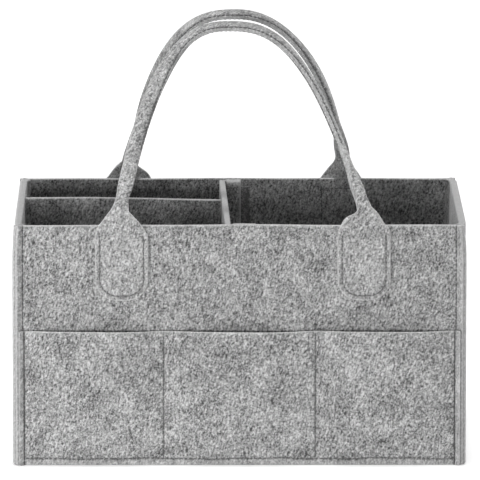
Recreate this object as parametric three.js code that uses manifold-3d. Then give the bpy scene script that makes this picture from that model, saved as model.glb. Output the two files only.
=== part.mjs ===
import * as THREE from "three";
import { mergeVertices } from "three/addons/utils/BufferGeometryUtils.js";
import loadManifold from "manifold-3d";

// A felt caddy: an open box of sewn felt with outside pockets, two carrying handles and two
// dividers that hook-and-loop tape holds. Millimetres, +Z up. The origin is on the floor under
// the middle of the box, and the front faces -Y.

// Box
const BODY_WIDTH = 330; // across the corner seams
const BODY_DEPTH = 229; // across the corner seams
const BODY_HEIGHT = 178;
const FELT = 2.5;
const LAYER_GAP = 0.3; // between two pieces that lie on each other
const SEAM_ALLOWANCE = 5; // felt beyond a corner fold, turned out at 45 degrees
const BASE_EDGE_HEIGHT = 9; // turned-up edge of the base
const BASE_SEAM_HEIGHT = 5;

// Pockets on the front and the back
const POCKET_HEIGHT = 100;
const POCKET_FELT = 2;
const POCKET_SEAM_SPACING = 111;
const POCKET_BOW = 6; // how far a pocket's mouth stands open
const POCKET_BOW_START = 10; // height below which the pocket lies flat
const POCKET_COLUMNS = 10; // steps across one pocket
const POCKET_ROWS = 8;

// Handle tabs and the flat neck above the rim
const TAB_WIDTH = 39;
const TAB_DROP = 55.5; // below the rim
const TAB_CORNER = 16;
const TAB_SEAM_INSET = 3.5;
const TAB_TOP_SEAM = 8; // below the rim
const SHOULDER_DROP = 8; // where the tab starts to narrow, below the rim
const NECK_WIDTH = 11;
const NECK_RISE = 12; // above the rim
const SHOULDER_STEPS = 8;
const HINGE_RISE = 1.5; // fold line above the rim
const HINGE_GAP = 0.6; // room for the fold, where the tab ends and the neck begins

// Grips, where the strip is folded double and sewn along its open edges
const GRIP_WIDTH = 11.5;
const GRIP_THICKNESS = 5.6;
const GRIP_SIDES = 12;
const GRIP_STEPS = 44;
const RING_NUDGE = 0.001; // step in angle that finds a ring's direction
const FOLD_START = 8; // where the flat neck starts to fold up, above the rim
const FOLD_END = 24;
const FLAT_ROUNDNESS = 0.15; // a section's exponent: 1 is an ellipse, 0 a rectangle
const ARCH_START = 6; // where the strip leaves the line straight up from its tab, above the rim
const ARCH_END = 32; // and where it has reached its arch
const TWIST_START = 8; // where the strip starts to twist, above the rim
const TWIST_END = 50;
const LEAN_DEGREES = 34; // the handles lean in over the box
const LEAN_RADIUS = 60; // bend from upright to that lean
const GRIP_SEAM_RISE = 60; // where the grip's seam starts, above the rim
const GRIP_SEAM_INSET = 1.5; // from the open edges

// The arches. Each half, from the top down to its tab, follows
// (across / spread) ^ squareness + (along / rise) ^ fullness = 1
const FRONT_HANDLE = {
  tabSpacing: 177,
  centre: 2.5,
  top: -6.9, // x of the highest point
  rise: 158.7,
  left: { squareness: 2.62, fullness: 1.14 },
  right: { squareness: 2.63, fullness: 0.83 },
  twist: { left: -25, top: 36, right: 70 }, // degrees, which turn the open edges out
  seamFace: 1, // the thread lies on the outer broad face
};
const BACK_HANDLE = {
  tabSpacing: 162,
  centre: 1.5,
  top: 1.7,
  rise: 158.3,
  left: { squareness: 2.2, fullness: 1.51 },
  right: { squareness: 2.83, fullness: 1.04 },
  twist: { left: -82, top: -104, right: -60 }, // below 0, so the open edges turn in
  seamFace: -1, // the inner broad face
};

// Dividers and their tape
const DIVIDER_FELT = 2;
const DIVIDER_DROP = 0.5; // top edges below the rim
const MAIN_DIVIDER_X = -10;
const MAIN_FRONT_FLAP = 18;
const MAIN_BACK_FLAP = 10;
const LENGTH_DIVIDER_Y = 21;
const LENGTH_DIVIDER_FLAP = 14;
const TAPE_LENGTH = 140;
const TAPE_TOP = 6; // below the rim
const LOOP_TAPE_WIDTH = 20;
const LOOP_TAPE = 1;
const LOOP_TAPE_X = -1; // middle of the tape on the front and back walls
const HOOK_TAPE = 1.2;
const HOOK_TAPE_INSET = 1;

// Sewing thread
const THREAD = 0.8;
const THREAD_END = 2; // distance from the end of a thread to the edge of the felt

// Finishes
const FELT_COLOUR = 0x9c9c9c;
const TAPE_COLOUR = 0x7d7d7d;
const THREAD_COLOUR = 0x6a6a6a;
const ROUGHNESS = 0.95;

// Worked out from the sizes above
const QUARTER_TURN = Math.PI / 2;
const LEAN = THREE.MathUtils.degToRad(LEAN_DEGREES);
const SEAM_REACH = (SEAM_ALLOWANCE + FELT + LAYER_GAP / 2) * Math.SQRT1_2;
const INNER_X = BODY_WIDTH / 2 - SEAM_REACH;
const INNER_Y = BODY_DEPTH / 2 - SEAM_REACH;
const POCKET_FACE = FELT + LAYER_GAP + POCKET_FELT;
const TAB_FACE = 2 * FELT + LAYER_GAP;
const HINGE_Z = BODY_HEIGHT + HINGE_RISE;
const TAPE_STACK = LOOP_TAPE + HOOK_TAPE + 3 * LAYER_GAP;
const DIVIDER_BOTTOM = FELT + LAYER_GAP;
const DIVIDER_HEIGHT = BODY_HEIGHT - DIVIDER_DROP - DIVIDER_BOTTOM;
const DIVIDER_FACE = DIVIDER_FELT + LAYER_GAP / 2;
const TAPE_BOTTOM = BODY_HEIGHT - TAPE_TOP - TAPE_LENGTH;

const wasm = await loadManifold();
wasm.setup();

const felt = new THREE.MeshStandardMaterial({ color: FELT_COLOUR, roughness: ROUGHNESS, metalness: 0 });
const tape = new THREE.MeshStandardMaterial({ color: TAPE_COLOUR, roughness: ROUGHNESS, metalness: 0 });
const thread = new THREE.MeshStandardMaterial({ color: THREAD_COLOUR, roughness: ROUGHNESS, metalness: 0 });

function add(parent, name, geometry, material) {
  const mesh = new THREE.Mesh(geometry, material);
  mesh.name = name;
  parent.add(mesh);
  return mesh;
}

function toManifold(geometry) {
  const plain = geometry.clone();
  plain.deleteAttribute("normal");
  plain.deleteAttribute("uv");
  const merged = mergeVertices(plain);
  return new wasm.Manifold(
    new wasm.Mesh({
      numProp: 3,
      vertProperties: new Float32Array(merged.attributes.position.array),
      triVerts: new Uint32Array(merged.index.array),
    }),
  );
}

function toGeometry(manifold) {
  const mesh = manifold.getMesh();
  return indexedGeometry(mesh.vertProperties, [...mesh.triVerts]);
}

function indexedGeometry(positions, triangles) {
  const geometry = new THREE.BufferGeometry();
  geometry.setAttribute("position", new THREE.Float32BufferAttribute(positions, 3));
  geometry.setIndex(triangles);
  geometry.computeVertexNormals();
  return geometry;
}

// A box between two corners
function block(low, high) {
  const size = high.map((value, axis) => value - low[axis]);
  const geometry = new THREE.BoxGeometry(...size);
  return geometry.translate(...low.map((value, axis) => value + size[axis] / 2));
}

// A plan outline drawn up to a height
function upright(outline, bottom, height) {
  const geometry = new THREE.ExtrudeGeometry(outline, { depth: height, bevelEnabled: false });
  return geometry.translate(0, 0, bottom);
}

// An outline in X and Z, cut from a layer that lies outside the plane y = -near
function facing(outline, near, thickness) {
  const geometry = new THREE.ExtrudeGeometry(outline, { depth: thickness, bevelEnabled: false });
  return geometry.rotateX(QUARTER_TURN).translate(0, -near, 0);
}

// A closed sheet between an inner and an outer grid of points, rows going up and columns along +X
function sheetSolid(inner, outer) {
  const rows = inner.length;
  const columns = inner[0].length;
  const at = (row, column) => row * columns + column;
  const back = (row, column) => rows * columns + at(row, column);
  const triangles = [];
  const quad = (a, b, c, d) => triangles.push(a, b, c, a, c, d);
  for (let row = 0; row + 1 < rows; row += 1) {
    for (let column = 0; column + 1 < columns; column += 1) {
      quad(at(row, column), at(row, column + 1), at(row + 1, column + 1), at(row + 1, column));
      quad(back(row, column), back(row + 1, column), back(row + 1, column + 1), back(row, column + 1));
    }
    const last = columns - 1;
    quad(at(row, 0), at(row + 1, 0), back(row + 1, 0), back(row, 0));
    quad(at(row, last), back(row, last), back(row + 1, last), at(row + 1, last));
  }
  for (let column = 0; column + 1 < columns; column += 1) {
    const top = rows - 1;
    quad(at(0, column), back(0, column), back(0, column + 1), at(0, column + 1));
    quad(at(top, column), at(top, column + 1), back(top, column + 1), back(top, column));
  }
  return indexedGeometry([...outer.flat(2), ...inner.flat(2)], triangles);
}

// A closed tube through rings of points
function tubeSolid(rings) {
  const sides = rings[0].length;
  const at = (ring, side) => ring * sides + (side % sides);
  const triangles = [];
  for (let ring = 0; ring + 1 < rings.length; ring += 1) {
    for (let side = 0; side < sides; side += 1) {
      triangles.push(at(ring, side), at(ring + 1, side), at(ring + 1, side + 1));
      triangles.push(at(ring, side), at(ring + 1, side + 1), at(ring, side + 1));
    }
  }
  const end = rings.length - 1;
  for (let side = 1; side + 1 < sides; side += 1) {
    triangles.push(at(0, 0), at(0, side), at(0, side + 1));
    triangles.push(at(end, 0), at(end, side + 1), at(end, side));
  }
  return indexedGeometry(rings.flat(2), triangles);
}

// Where a face that stands `depth` outside a wall's inner plane folds into the corner seam
function foldAt(halfLength, depth) {
  return halfLength + depth - Math.SQRT2 * (depth + LAYER_GAP / 2);
}

function lipEnd(halfLength, depth) {
  const offset = depth + LAYER_GAP / 2;
  const along = halfLength + (SEAM_ALLOWANCE - offset) * Math.SQRT1_2;
  return [along, (SEAM_ALLOWANCE + offset) * Math.SQRT1_2];
}

// Each wall is drawn along X with its inner face on y = 0 and its outside towards -Y
function wallPanel(halfLength) {
  const [innerEnd, innerReach] = lipEnd(halfLength, 0);
  const [outerEnd, outerReach] = lipEnd(halfLength, FELT);
  const right = [
    [foldAt(halfLength, 0), 0],
    [innerEnd, -innerReach],
    [outerEnd, -outerReach],
    [foldAt(halfLength, FELT), -FELT],
  ];
  const left = right.map(([x, y]) => [-x, y]).reverse();
  const outline = new THREE.Shape([...right, ...left].map(([x, y]) => new THREE.Vector2(x, y)));
  return upright(outline, 0, BODY_HEIGHT);
}

// How far a pocket stands open: nothing at its seams and its foot, most at the middle of its mouth
function pocketBow(across, z) {
  const open = (1 - (2 * across - 1) ** 4) ** 2;
  const up = Math.max(0, (z - POCKET_BOW_START) / (POCKET_HEIGHT - POCKET_BOW_START));
  return POCKET_BOW * open * Math.sin(up * QUARTER_TURN);
}

function pocketFaceRow(halfLength, depth, z) {
  const fold = foldAt(halfLength, depth);
  const seam = POCKET_SEAM_SPACING / 2;
  const [end, reach] = lipEnd(halfLength, depth);
  const edges = [-fold, -seam, seam, fold];
  const row = [[-end, -reach, z], [-fold, -depth, z]];
  for (let pocket = 0; pocket + 1 < edges.length; pocket += 1) {
    for (let step = 1; step <= POCKET_COLUMNS; step += 1) {
      const across = step / POCKET_COLUMNS;
      const x = THREE.MathUtils.lerp(edges[pocket], edges[pocket + 1], across);
      row.push([x, -depth - pocketBow(across, z), z]);
    }
  }
  row.push([end, -reach, z]);
  return row;
}

function pocketPanel(halfLength) {
  const heights = [0];
  for (let row = 0; row <= POCKET_ROWS; row += 1) {
    heights.push(THREE.MathUtils.lerp(POCKET_BOW_START, POCKET_HEIGHT, row / POCKET_ROWS));
  }
  const face = (depth) => heights.map((z) => pocketFaceRow(halfLength, depth, z));
  return sheetSolid(face(FELT + LAYER_GAP), face(POCKET_FACE));
}

// A straight thread that stands on a face `depth` outside a wall's inner plane
function uprightThread(x, depth, bottom, top) {
  const near = depth + LAYER_GAP;
  return block([x - THREAD / 2, -near - THREAD, bottom], [x + THREAD / 2, -near, top]);
}

function baseThread(halfLength, depth) {
  const near = depth + LAYER_GAP;
  const half = foldAt(halfLength, depth) - THREAD_END;
  const low = [-half, -near - THREAD, BASE_SEAM_HEIGHT - THREAD / 2];
  return block(low, [half, -near, BASE_SEAM_HEIGHT + THREAD / 2]);
}

// The tab and the neck share one outline, which narrows from the tab to the neck
function shoulderHalfWidth(z) {
  const start = BODY_HEIGHT - SHOULDER_DROP;
  const share = THREE.MathUtils.clamp((z - start) / (NECK_RISE + SHOULDER_DROP), 0, 1);
  const narrowing = Math.cos(QUARTER_TURN * share);
  return (NECK_WIDTH + (TAB_WIDTH - NECK_WIDTH) * narrowing) / 2;
}

function shoulderPoints(bottom, top) {
  const points = [];
  for (let step = 0; step <= SHOULDER_STEPS; step += 1) {
    const z = THREE.MathUtils.lerp(bottom, top, step / SHOULDER_STEPS);
    points.push([shoulderHalfWidth(z), z]);
  }
  return points;
}

function roundedTab(centre, inset, topPoints) {
  const half = TAB_WIDTH / 2 - inset;
  const radius = TAB_CORNER - inset;
  const foot = BODY_HEIGHT - TAB_DROP + inset;
  const outline = new THREE.Shape();
  outline.absarc(centre - half + radius, foot + radius, radius, Math.PI, 3 * QUARTER_TURN, false);
  outline.absarc(centre + half - radius, foot + radius, radius, 3 * QUARTER_TURN, 4 * QUARTER_TURN, false);
  for (const [x, z] of topPoints) {
    outline.lineTo(centre + x, z);
  }
  for (const [x, z] of [...topPoints].reverse()) {
    outline.lineTo(centre - x, z);
  }
  outline.closePath();
  return outline;
}

function tabPlate(centre) {
  const top = shoulderPoints(BODY_HEIGHT - SHOULDER_DROP, HINGE_Z - HINGE_GAP / 2);
  return facing(roundedTab(centre, 0, top), FELT + LAYER_GAP, FELT);
}

function tabThread(centre) {
  const line = (inset, top) => roundedTab(centre, inset, [[TAB_WIDTH / 2 - inset, top]]);
  const seamTop = BODY_HEIGHT - TAB_TOP_SEAM;
  const outline = line(TAB_SEAM_INSET - THREAD / 2, seamTop + THREAD / 2);
  outline.holes.push(line(TAB_SEAM_INSET + THREAD / 2, seamTop - THREAD / 2));
  return facing(outline, TAB_FACE + LAYER_GAP, THREAD);
}

// Point and frame of a grip, from its left end at angle 0 to its right end at half a turn
function archPoint(handle, angle) {
  const { tabSpacing, centre, top, rise } = handle;
  const side = angle < QUARTER_TURN ? -1 : 1;
  const { squareness, fullness } = side < 0 ? handle.left : handle.right;
  const foot = centre + (side * tabSpacing) / 2;
  const neckShare = (1 - (NECK_RISE / rise) ** fullness) ** (1 / squareness);
  const along = rise * Math.sin(angle) ** (2 / fullness);
  const arched = top + ((foot - top) / neckShare) * Math.abs(Math.cos(angle)) ** (2 / squareness);
  const onArch = THREE.MathUtils.smoothstep(along, ARCH_START, ARCH_END);
  const x = THREE.MathUtils.lerp(foot, arched, onArch);
  const turn = Math.min(along / LEAN_RADIUS, LEAN);
  const straight = along - turn * LEAN_RADIUS;
  const lean = LEAN_RADIUS * (1 - Math.cos(turn)) + straight * Math.sin(turn);
  const height = LEAN_RADIUS * Math.sin(turn) + straight * Math.cos(turn);
  const point = new THREE.Vector3(x, lean - FELT - LAYER_GAP - FELT / 2, BODY_HEIGHT + height);
  return { point, along, outward: new THREE.Vector3(0, -Math.cos(turn), Math.sin(turn)) };
}

function angleAt(half, rise, along) {
  return Math.asin((along / rise) ** (half.fullness / 2));
}

// How far the folded strip is turned about its own line: by an angle of its own on each leg and at the
// top, and not at all at the necks.
function twistAt(handle, angle, along) {
  const { left, top, right } = handle.twist;
  const share = angle / Math.PI;
  const toTop = (top - left) * THREE.MathUtils.smoothstep(share, 0.22, 0.42);
  const toRight = (right - top) * THREE.MathUtils.smoothstep(share, 0.52, 0.7);
  const twisted = THREE.MathUtils.smoothstep(along, TWIST_START, TWIST_END);
  return THREE.MathUtils.degToRad((left + toTop + toRight) * twisted);
}

// Angles of the rings from one height above the rim, round to the same height on the other side
function ringAngles(handle, startAlong) {
  const { left, right, rise } = handle;
  const neckAlongs = [];
  for (let step = 0; step < SHOULDER_STEPS && startAlong < NECK_RISE; step += 1) {
    neckAlongs.push(THREE.MathUtils.lerp(startAlong, NECK_RISE, step / SHOULDER_STEPS));
  }
  const archStart = Math.max(startAlong, NECK_RISE);
  const first = angleAt(left, rise, archStart);
  const last = Math.PI - angleAt(right, rise, archStart);
  const angles = neckAlongs.map((along) => angleAt(left, rise, along));
  for (let step = 0; step <= GRIP_STEPS; step += 1) {
    angles.push(THREE.MathUtils.lerp(first, last, step / GRIP_STEPS));
  }
  const rightNeck = neckAlongs.map((along) => Math.PI - angleAt(right, rise, along));
  return [...angles, ...rightNeck.reverse()];
}

// Rings along the arch. `section` gives a ring's points as [across the strip, out of it] at a height
// along the lean.
function archRings(handle, startAlong, section) {
  return ringAngles(handle, startAlong).map((angle) => {
    const { point, along, outward } = archPoint(handle, angle);
    const ahead = archPoint(handle, angle + RING_NUDGE).point;
    const tangent = ahead.sub(archPoint(handle, angle - RING_NUDGE).point).normalize();
    const inPlane = new THREE.Vector3().crossVectors(tangent, outward).normalize();
    const across = inPlane.clone().applyAxisAngle(tangent, -twistAt(handle, angle, along));
    const out = new THREE.Vector3().crossVectors(across, tangent).normalize();
    return section(along).map(([a, b]) =>
      point.clone().addScaledVector(across, a).addScaledVector(out, b).toArray(),
    );
  });
}

function gripSection(along) {
  const folded = THREE.MathUtils.smoothstep(along, FOLD_START, FOLD_END);
  const width = THREE.MathUtils.lerp(2 * shoulderHalfWidth(BODY_HEIGHT + along), GRIP_WIDTH, folded);
  const thickness = THREE.MathUtils.lerp(FELT, GRIP_THICKNESS, folded);
  const roundness = THREE.MathUtils.lerp(FLAT_ROUNDNESS, 1, folded);
  const rounded = (value) => Math.sign(value) * Math.abs(value) ** roundness;
  const points = [];
  for (let side = 0; side < GRIP_SIDES; side += 1) {
    const angle = (4 * QUARTER_TURN * (side + 0.5)) / GRIP_SIDES;
    points.push([(width / 2) * rounded(Math.cos(angle)), (thickness / 2) * rounded(Math.sin(angle))]);
  }
  return points;
}

// A bar on one broad face of the folded strip: the outer face for 1, the inner one for -1
function gripThreadSection(face) {
  const across = GRIP_WIDTH / 2 - GRIP_SEAM_INSET;
  const near = (GRIP_THICKNESS / 2) * Math.sqrt(1 - ((2 * across) / GRIP_WIDTH) ** 2) + LAYER_GAP;
  const low = face > 0 ? near : -near - THREAD;
  const left = across - THREAD / 2;
  return [[left, low], [left + THREAD, low], [left + THREAD, low + THREAD], [left, low + THREAD]];
}

function gripThread(handle) {
  return tubeSolid(archRings(handle, GRIP_SEAM_RISE, () => gripThreadSection(handle.seamFace)));
}

// The neck from the hinge up, and the folded strip
function grip(handle) {
  return tubeSolid(archRings(handle, HINGE_RISE + HINGE_GAP / 2, gripSection));
}

// One long wall with its pockets, handle, tape and threads; `mirror` is -1 on a wall that is turned round
function longWall(side, handle, mirror) {
  const wall = new THREE.Group();
  const tapeX = mirror * LOOP_TAPE_X;
  const seam = POCKET_SEAM_SPACING / 2;
  const tapeSeam = LOOP_TAPE_WIDTH / 2 - THREAD / 2;
  add(wall, `${side}_panel`, wallPanel(INNER_X), felt);
  add(wall, `${side}_pocket_panel`, pocketPanel(INNER_X), felt);
  add(wall, `${side}_base_thread`, baseThread(INNER_X, POCKET_FACE), thread);
  add(
    wall,
    `${side}_loop_tape`,
    block(
      [tapeX - LOOP_TAPE_WIDTH / 2, LAYER_GAP, TAPE_BOTTOM],
      [tapeX + LOOP_TAPE_WIDTH / 2, LAYER_GAP + LOOP_TAPE, TAPE_BOTTOM + TAPE_LENGTH],
    ),
    tape,
  );
  for (const [end, sign] of [["left", -1], ["right", 1]]) {
    const tabX = handle.centre + mirror * sign * (handle.tabSpacing / 2);
    const pocketThread = [POCKET_FACE, BASE_SEAM_HEIGHT + THREAD_END, POCKET_HEIGHT - THREAD_END];
    const tapeThread = [FELT, POCKET_HEIGHT + THREAD_END, BODY_HEIGHT - THREAD_END];
    add(wall, `${side}_${end}_tab`, tabPlate(tabX), felt);
    add(wall, `${side}_${end}_tab_thread`, tabThread(tabX), thread);
    add(wall, `${side}_${end}_pocket_thread`, uprightThread(mirror * sign * seam, ...pocketThread), thread);
    add(
      wall,
      `${side}_${end}_tape_thread`,
      uprightThread(tapeX + mirror * sign * tapeSeam, ...tapeThread),
      thread,
    );
  }
  add(wall, `${side}_grip`, grip(handle), felt);
  add(wall, `${side}_grip_thread`, gripThread(handle), thread);
  return wall;
}

function shortWall(side, frontX) {
  const wall = new THREE.Group();
  const liningHalf = INNER_Y - LAYER_GAP;
  const threadX = foldAt(INNER_Y, FELT) - THREAD;
  add(wall, `${side}_side_panel`, wallPanel(INNER_Y), felt);
  add(
    wall,
    `${side}_side_lining`,
    block(
      [-liningHalf, LAYER_GAP, BASE_EDGE_HEIGHT + LAYER_GAP],
      [liningHalf, LAYER_GAP + FELT, BODY_HEIGHT],
    ),
    felt,
  );
  // This thread ends short of the corner threads
  add(wall, `${side}_base_thread`, baseThread(INNER_Y - 2 * THREAD, FELT), thread);
  for (const [end, sign] of [["front", frontX], ["back", -frontX]]) {
    const cornerThread = uprightThread(sign * threadX, FELT, THREAD_END, BODY_HEIGHT - THREAD_END);
    add(wall, `${end}_${side}_corner_thread`, cornerThread, thread);
  }
  return wall;
}

// A tray: the base with its edge turned up inside the walls
function basePanel() {
  const halfX = INNER_X - LAYER_GAP;
  const halfY = INNER_Y - LAYER_GAP;
  const whole = toManifold(block([-halfX, -halfY, 0], [halfX, halfY, BASE_EDGE_HEIGHT]));
  const hollow = block(
    [FELT - halfX, FELT - halfY, FELT],
    [halfX - FELT, halfY - FELT, 2 * BASE_EDGE_HEIGHT],
  );
  return toGeometry(whole.subtract(toManifold(hollow)));
}

// A divider of two leaves along X, from `start` to `end`. The flap leaf's ends turn towards +Y, and
// each flap carries a strip of hook tape. The plain leaf is longer by `reach` at both ends.
function divider(name, start, end, flaps, ends, reach) {
  const group = new THREE.Group();
  const seamFace = LAYER_GAP / 2;
  const hookLow = DIVIDER_FACE + HOOK_TAPE_INSET;
  const [startFlap, endFlap] = flaps;
  const outline = [
    [start, seamFace],
    [end, seamFace],
    [end, DIVIDER_FACE + endFlap],
    [end - DIVIDER_FELT, DIVIDER_FACE + endFlap],
    [end - DIVIDER_FELT, DIVIDER_FACE],
    [start + DIVIDER_FELT, DIVIDER_FACE],
    [start + DIVIDER_FELT, DIVIDER_FACE + startFlap],
    [start, DIVIDER_FACE + startFlap],
  ].map(([x, y]) => new THREE.Vector2(x, y));
  const leafLow = [start - reach, -DIVIDER_FACE, DIVIDER_BOTTOM];
  const leafHigh = [end + reach, -seamFace, DIVIDER_BOTTOM + DIVIDER_HEIGHT];
  const flapLeaf = upright(new THREE.Shape(outline), DIVIDER_BOTTOM, DIVIDER_HEIGHT);
  add(group, `${name}_plain_leaf`, block(leafLow, leafHigh), felt);
  add(group, `${name}_flap_leaf`, flapLeaf, felt);
  const hook = (x, flap) =>
    block(
      [x, hookLow, TAPE_BOTTOM],
      [x + HOOK_TAPE, DIVIDER_FACE + flap - HOOK_TAPE_INSET, TAPE_BOTTOM + TAPE_LENGTH],
    );
  add(group, `${name}_${ends[0]}_hook_tape`, hook(start - LAYER_GAP - HOOK_TAPE, startFlap), tape);
  add(group, `${name}_${ends[1]}_hook_tape`, hook(end + LAYER_GAP, endFlap), tape);
  return group;
}

// Loop tape for the lengthwise divider, on the face at `faceX`; `direction` is +1 or -1 along X. It
// starts behind the divider's plain leaf.
function sideLoopTape(faceX, direction) {
  const low = LENGTH_DIVIDER_Y + LAYER_GAP / 2;
  const near = faceX + direction * LAYER_GAP;
  const far = near + direction * LOOP_TAPE;
  return block(
    [Math.min(near, far), low, TAPE_BOTTOM],
    [Math.max(near, far), low + LOOP_TAPE_WIDTH, TAPE_BOTTOM + TAPE_LENGTH],
  );
}

const caddy = new THREE.Group();

const front = longWall("front", FRONT_HANDLE, 1);
front.position.y = -INNER_Y;
const back = longWall("back", BACK_HANDLE, -1);
back.position.y = INNER_Y;
back.rotation.z = 2 * QUARTER_TURN;
const left = shortWall("left", 1);
left.position.x = -INNER_X;
left.rotation.z = -QUARTER_TURN;
const right = shortWall("right", -1);
right.position.x = INNER_X;
right.rotation.z = QUARTER_TURN;
caddy.add(front, back, left, right);
add(caddy, "base_panel", basePanel(), felt);

const mainHalf = INNER_Y - TAPE_STACK;
const mainDivider = divider(
  "main_divider",
  -mainHalf,
  mainHalf,
  [MAIN_BACK_FLAP, MAIN_FRONT_FLAP],
  ["back", "front"],
  0,
);
mainDivider.position.x = MAIN_DIVIDER_X;
mainDivider.rotation.z = -QUARTER_TURN;
caddy.add(mainDivider);

const leftFace = -INNER_X + LAYER_GAP + FELT;
const mainFace = MAIN_DIVIDER_X - DIVIDER_FACE;
const lengthDivider = divider(
  "length_divider",
  leftFace + TAPE_STACK,
  mainFace - TAPE_STACK,
  [LENGTH_DIVIDER_FLAP, LENGTH_DIVIDER_FLAP],
  ["left", "right"],
  TAPE_STACK - LAYER_GAP,
);
lengthDivider.position.y = LENGTH_DIVIDER_Y;
caddy.add(lengthDivider);
add(caddy, "left_loop_tape", sideLoopTape(leftFace, 1), tape);
add(caddy, "main_divider_loop_tape", sideLoopTape(mainFace, -1), tape);

export default caddy;
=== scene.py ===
import math

import bpy
import numpy as np
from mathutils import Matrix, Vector


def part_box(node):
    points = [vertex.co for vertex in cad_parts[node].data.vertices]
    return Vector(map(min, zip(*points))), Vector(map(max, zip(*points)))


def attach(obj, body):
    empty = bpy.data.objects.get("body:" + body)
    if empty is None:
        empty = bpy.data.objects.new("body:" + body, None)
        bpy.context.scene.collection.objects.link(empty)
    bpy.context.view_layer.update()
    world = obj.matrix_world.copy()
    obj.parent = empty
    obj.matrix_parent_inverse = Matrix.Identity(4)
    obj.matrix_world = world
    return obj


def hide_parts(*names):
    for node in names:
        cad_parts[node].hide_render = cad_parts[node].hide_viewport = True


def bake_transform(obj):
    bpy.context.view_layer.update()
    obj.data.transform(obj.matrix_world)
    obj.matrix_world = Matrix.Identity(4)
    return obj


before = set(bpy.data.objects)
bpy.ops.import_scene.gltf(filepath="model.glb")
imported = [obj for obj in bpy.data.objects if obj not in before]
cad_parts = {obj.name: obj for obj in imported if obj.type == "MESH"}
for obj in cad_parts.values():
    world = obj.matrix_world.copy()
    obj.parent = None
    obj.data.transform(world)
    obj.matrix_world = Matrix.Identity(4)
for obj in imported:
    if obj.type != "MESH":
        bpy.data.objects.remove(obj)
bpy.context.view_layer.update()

bl_info = {
    "name": "Felt caddy",
    "version": (1, 0, 0),
    "blender": (4, 5, 0),
    "location": "3D View > Sidebar > Caddy",
    "description": "Dresses the frame of a felt caddy in soft felt, tape and stitches, on a pale stage",
    "category": "Add Mesh",
}

MM = 0.001

# Sizes that the frame gives
FRONT_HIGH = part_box("front_panel")[1]
BASE_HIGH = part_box("base_panel")[1]
SIDE_LOW, SIDE_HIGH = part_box("left_side_panel")
LINING_LOW, LINING_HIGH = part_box("left_side_lining")
MAIN_LOW, MAIN_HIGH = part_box("main_divider_plain_leaf")
LENGTH_LOW, LENGTH_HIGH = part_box("length_divider_plain_leaf")
INNER_X = -SIDE_HIGH.x
INNER_Y = -FRONT_HIGH.y
RIM = FRONT_HIGH.z
POCKET_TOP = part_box("front_pocket_panel")[1].z
LAYER_GAP = INNER_X - BASE_HIGH.x
WALL_FELT = LINING_HIGH.x - LINING_LOW.x
DIVIDER_FELT = MAIN_HIGH.x - MAIN_LOW.x
SEAM_ALLOWANCE = (-SIDE_LOW.x - INNER_X) * math.sqrt(2) - WALL_FELT - LAYER_GAP / 2

# Walls and pockets
LONG_WALLS = ("front", "back")
CORNER_TURN = 9 * MM  # length over which a short wall turns out beside its corners
TAPE_HOLD = (0.12, 0.45)  # shares of a long wall's half between which its tape lets it stand out
WAVE_START = 0.1  # share of its height above which a wall stands out
RIM_WAVES = (23 * MM, 61 * MM)
LIP_TAPER_DROP = 25 * MM
LIP_FOOT_RISE = 12 * MM
LIP_HIGHLIGHT_START = 2 * MM  # length over which a lip's painted highlight begins beyond its fold
# share by which a wall is drawn paler below its base seam
HEM_PALENESS = 0.4
HEM_BLUR = 0.4 * MM
EDGE_BAND_WIDTH = 0.8 * MM  # of the pale band along a cut edge, fibre ends with a painted highlight; also of the painted shade at a pocket's mouth and of a grip's furrow
MOST_ROUND = 0.4  # share of its thickness by which a cut edge is rounded at most
INNER_PRESS = 0.5  # share of a wall seam's pressing and darkening, partly painted shade, that shows on the inner face
SNUG_TURN = 2 * MM  # length over which two layers part beside a fold
BASE_SEAM_HEIGHT = 5 * MM
BASE_SEAM_WAVES = ((0.35 * MM, 14 * MM, 0), (0.25 * MM, 5.3 * MM, 2))  # rise, length and start
POCKET_FELT = 2 * MM
POCKET_SEAM = 55.5 * MM  # from the middle of the wall
POCKET_BOW = 6 * MM
POCKET_BOW_START = 10 * MM
POCKET_DEPTH = WALL_FELT + LAYER_GAP + POCKET_FELT / 2
POCKET_FACE = POCKET_DEPTH + POCKET_FELT / 2
TAPE_SEAM_INSET = 0.4 * MM
THREAD_END = 2 * MM
THREAD_PROUD = 0.1 * MM
THREAD_SHOWS = 0.3  # share of its thickness by which a thread stands out of its groove

# Handles
TAB_DEPTH = WALL_FELT + LAYER_GAP + WALL_FELT / 2
TAB_FACE = TAB_DEPTH + WALL_FELT / 2
TAB_CORNER = 16 * MM
TAB_SEAM_INSET = 3.5 * MM
TAB_TOP_SEAM = 8 * MM
# Shares by which a tab's sewing presses in, round it and across its top, and darkens it, partly as painted
# shade in the groove
TAB_PRESS = 0.7
TAB_TOP_PRESS = 0.25
NECK_WIDTH = 11 * MM
NECK_RISE = 12 * MM
SHOULDER_DROP = 8 * MM
PLAIN_SHOULDER = (SHOULDER_DROP, NECK_RISE, 1.0)  # drop, rise and hollowness
FRONT_LEFT_SHOULDERS = ((SHOULDER_DROP, 23 * MM, 2.7), (12 * MM, 10 * MM, 1.0))  # outer and inner
BACK_LEFT_SHOULDERS = ((16 * MM, NECK_RISE, 1.0), (SHOULDER_DROP, 20 * MM, 2.2))
FRONT_ARCH = ((2.62, 2.63), (1.14, 0.83))  # squareness and fullness of its left and right half
BACK_ARCH = ((2.2, 2.83), (1.51, 1.04))
FOOT_BENDS = ((6 * MM, 32 * MM), (0, 18 * MM))  # where the left and right leg bend from foot to arch
FRONT_LEGS = ()
BACK_LEGS = ((1 * MM, 95 * MM, 45 * MM), (-2 * MM, 36 * MM, 24 * MM))  # push outwards, height and reach
PUSH_RISE = 25 * MM
WAIST_RISE = 18 * MM
WAIST_LENGTH = 8 * MM
LEAN = math.radians(34)
LEAN_RADIUS = 60 * MM
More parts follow.
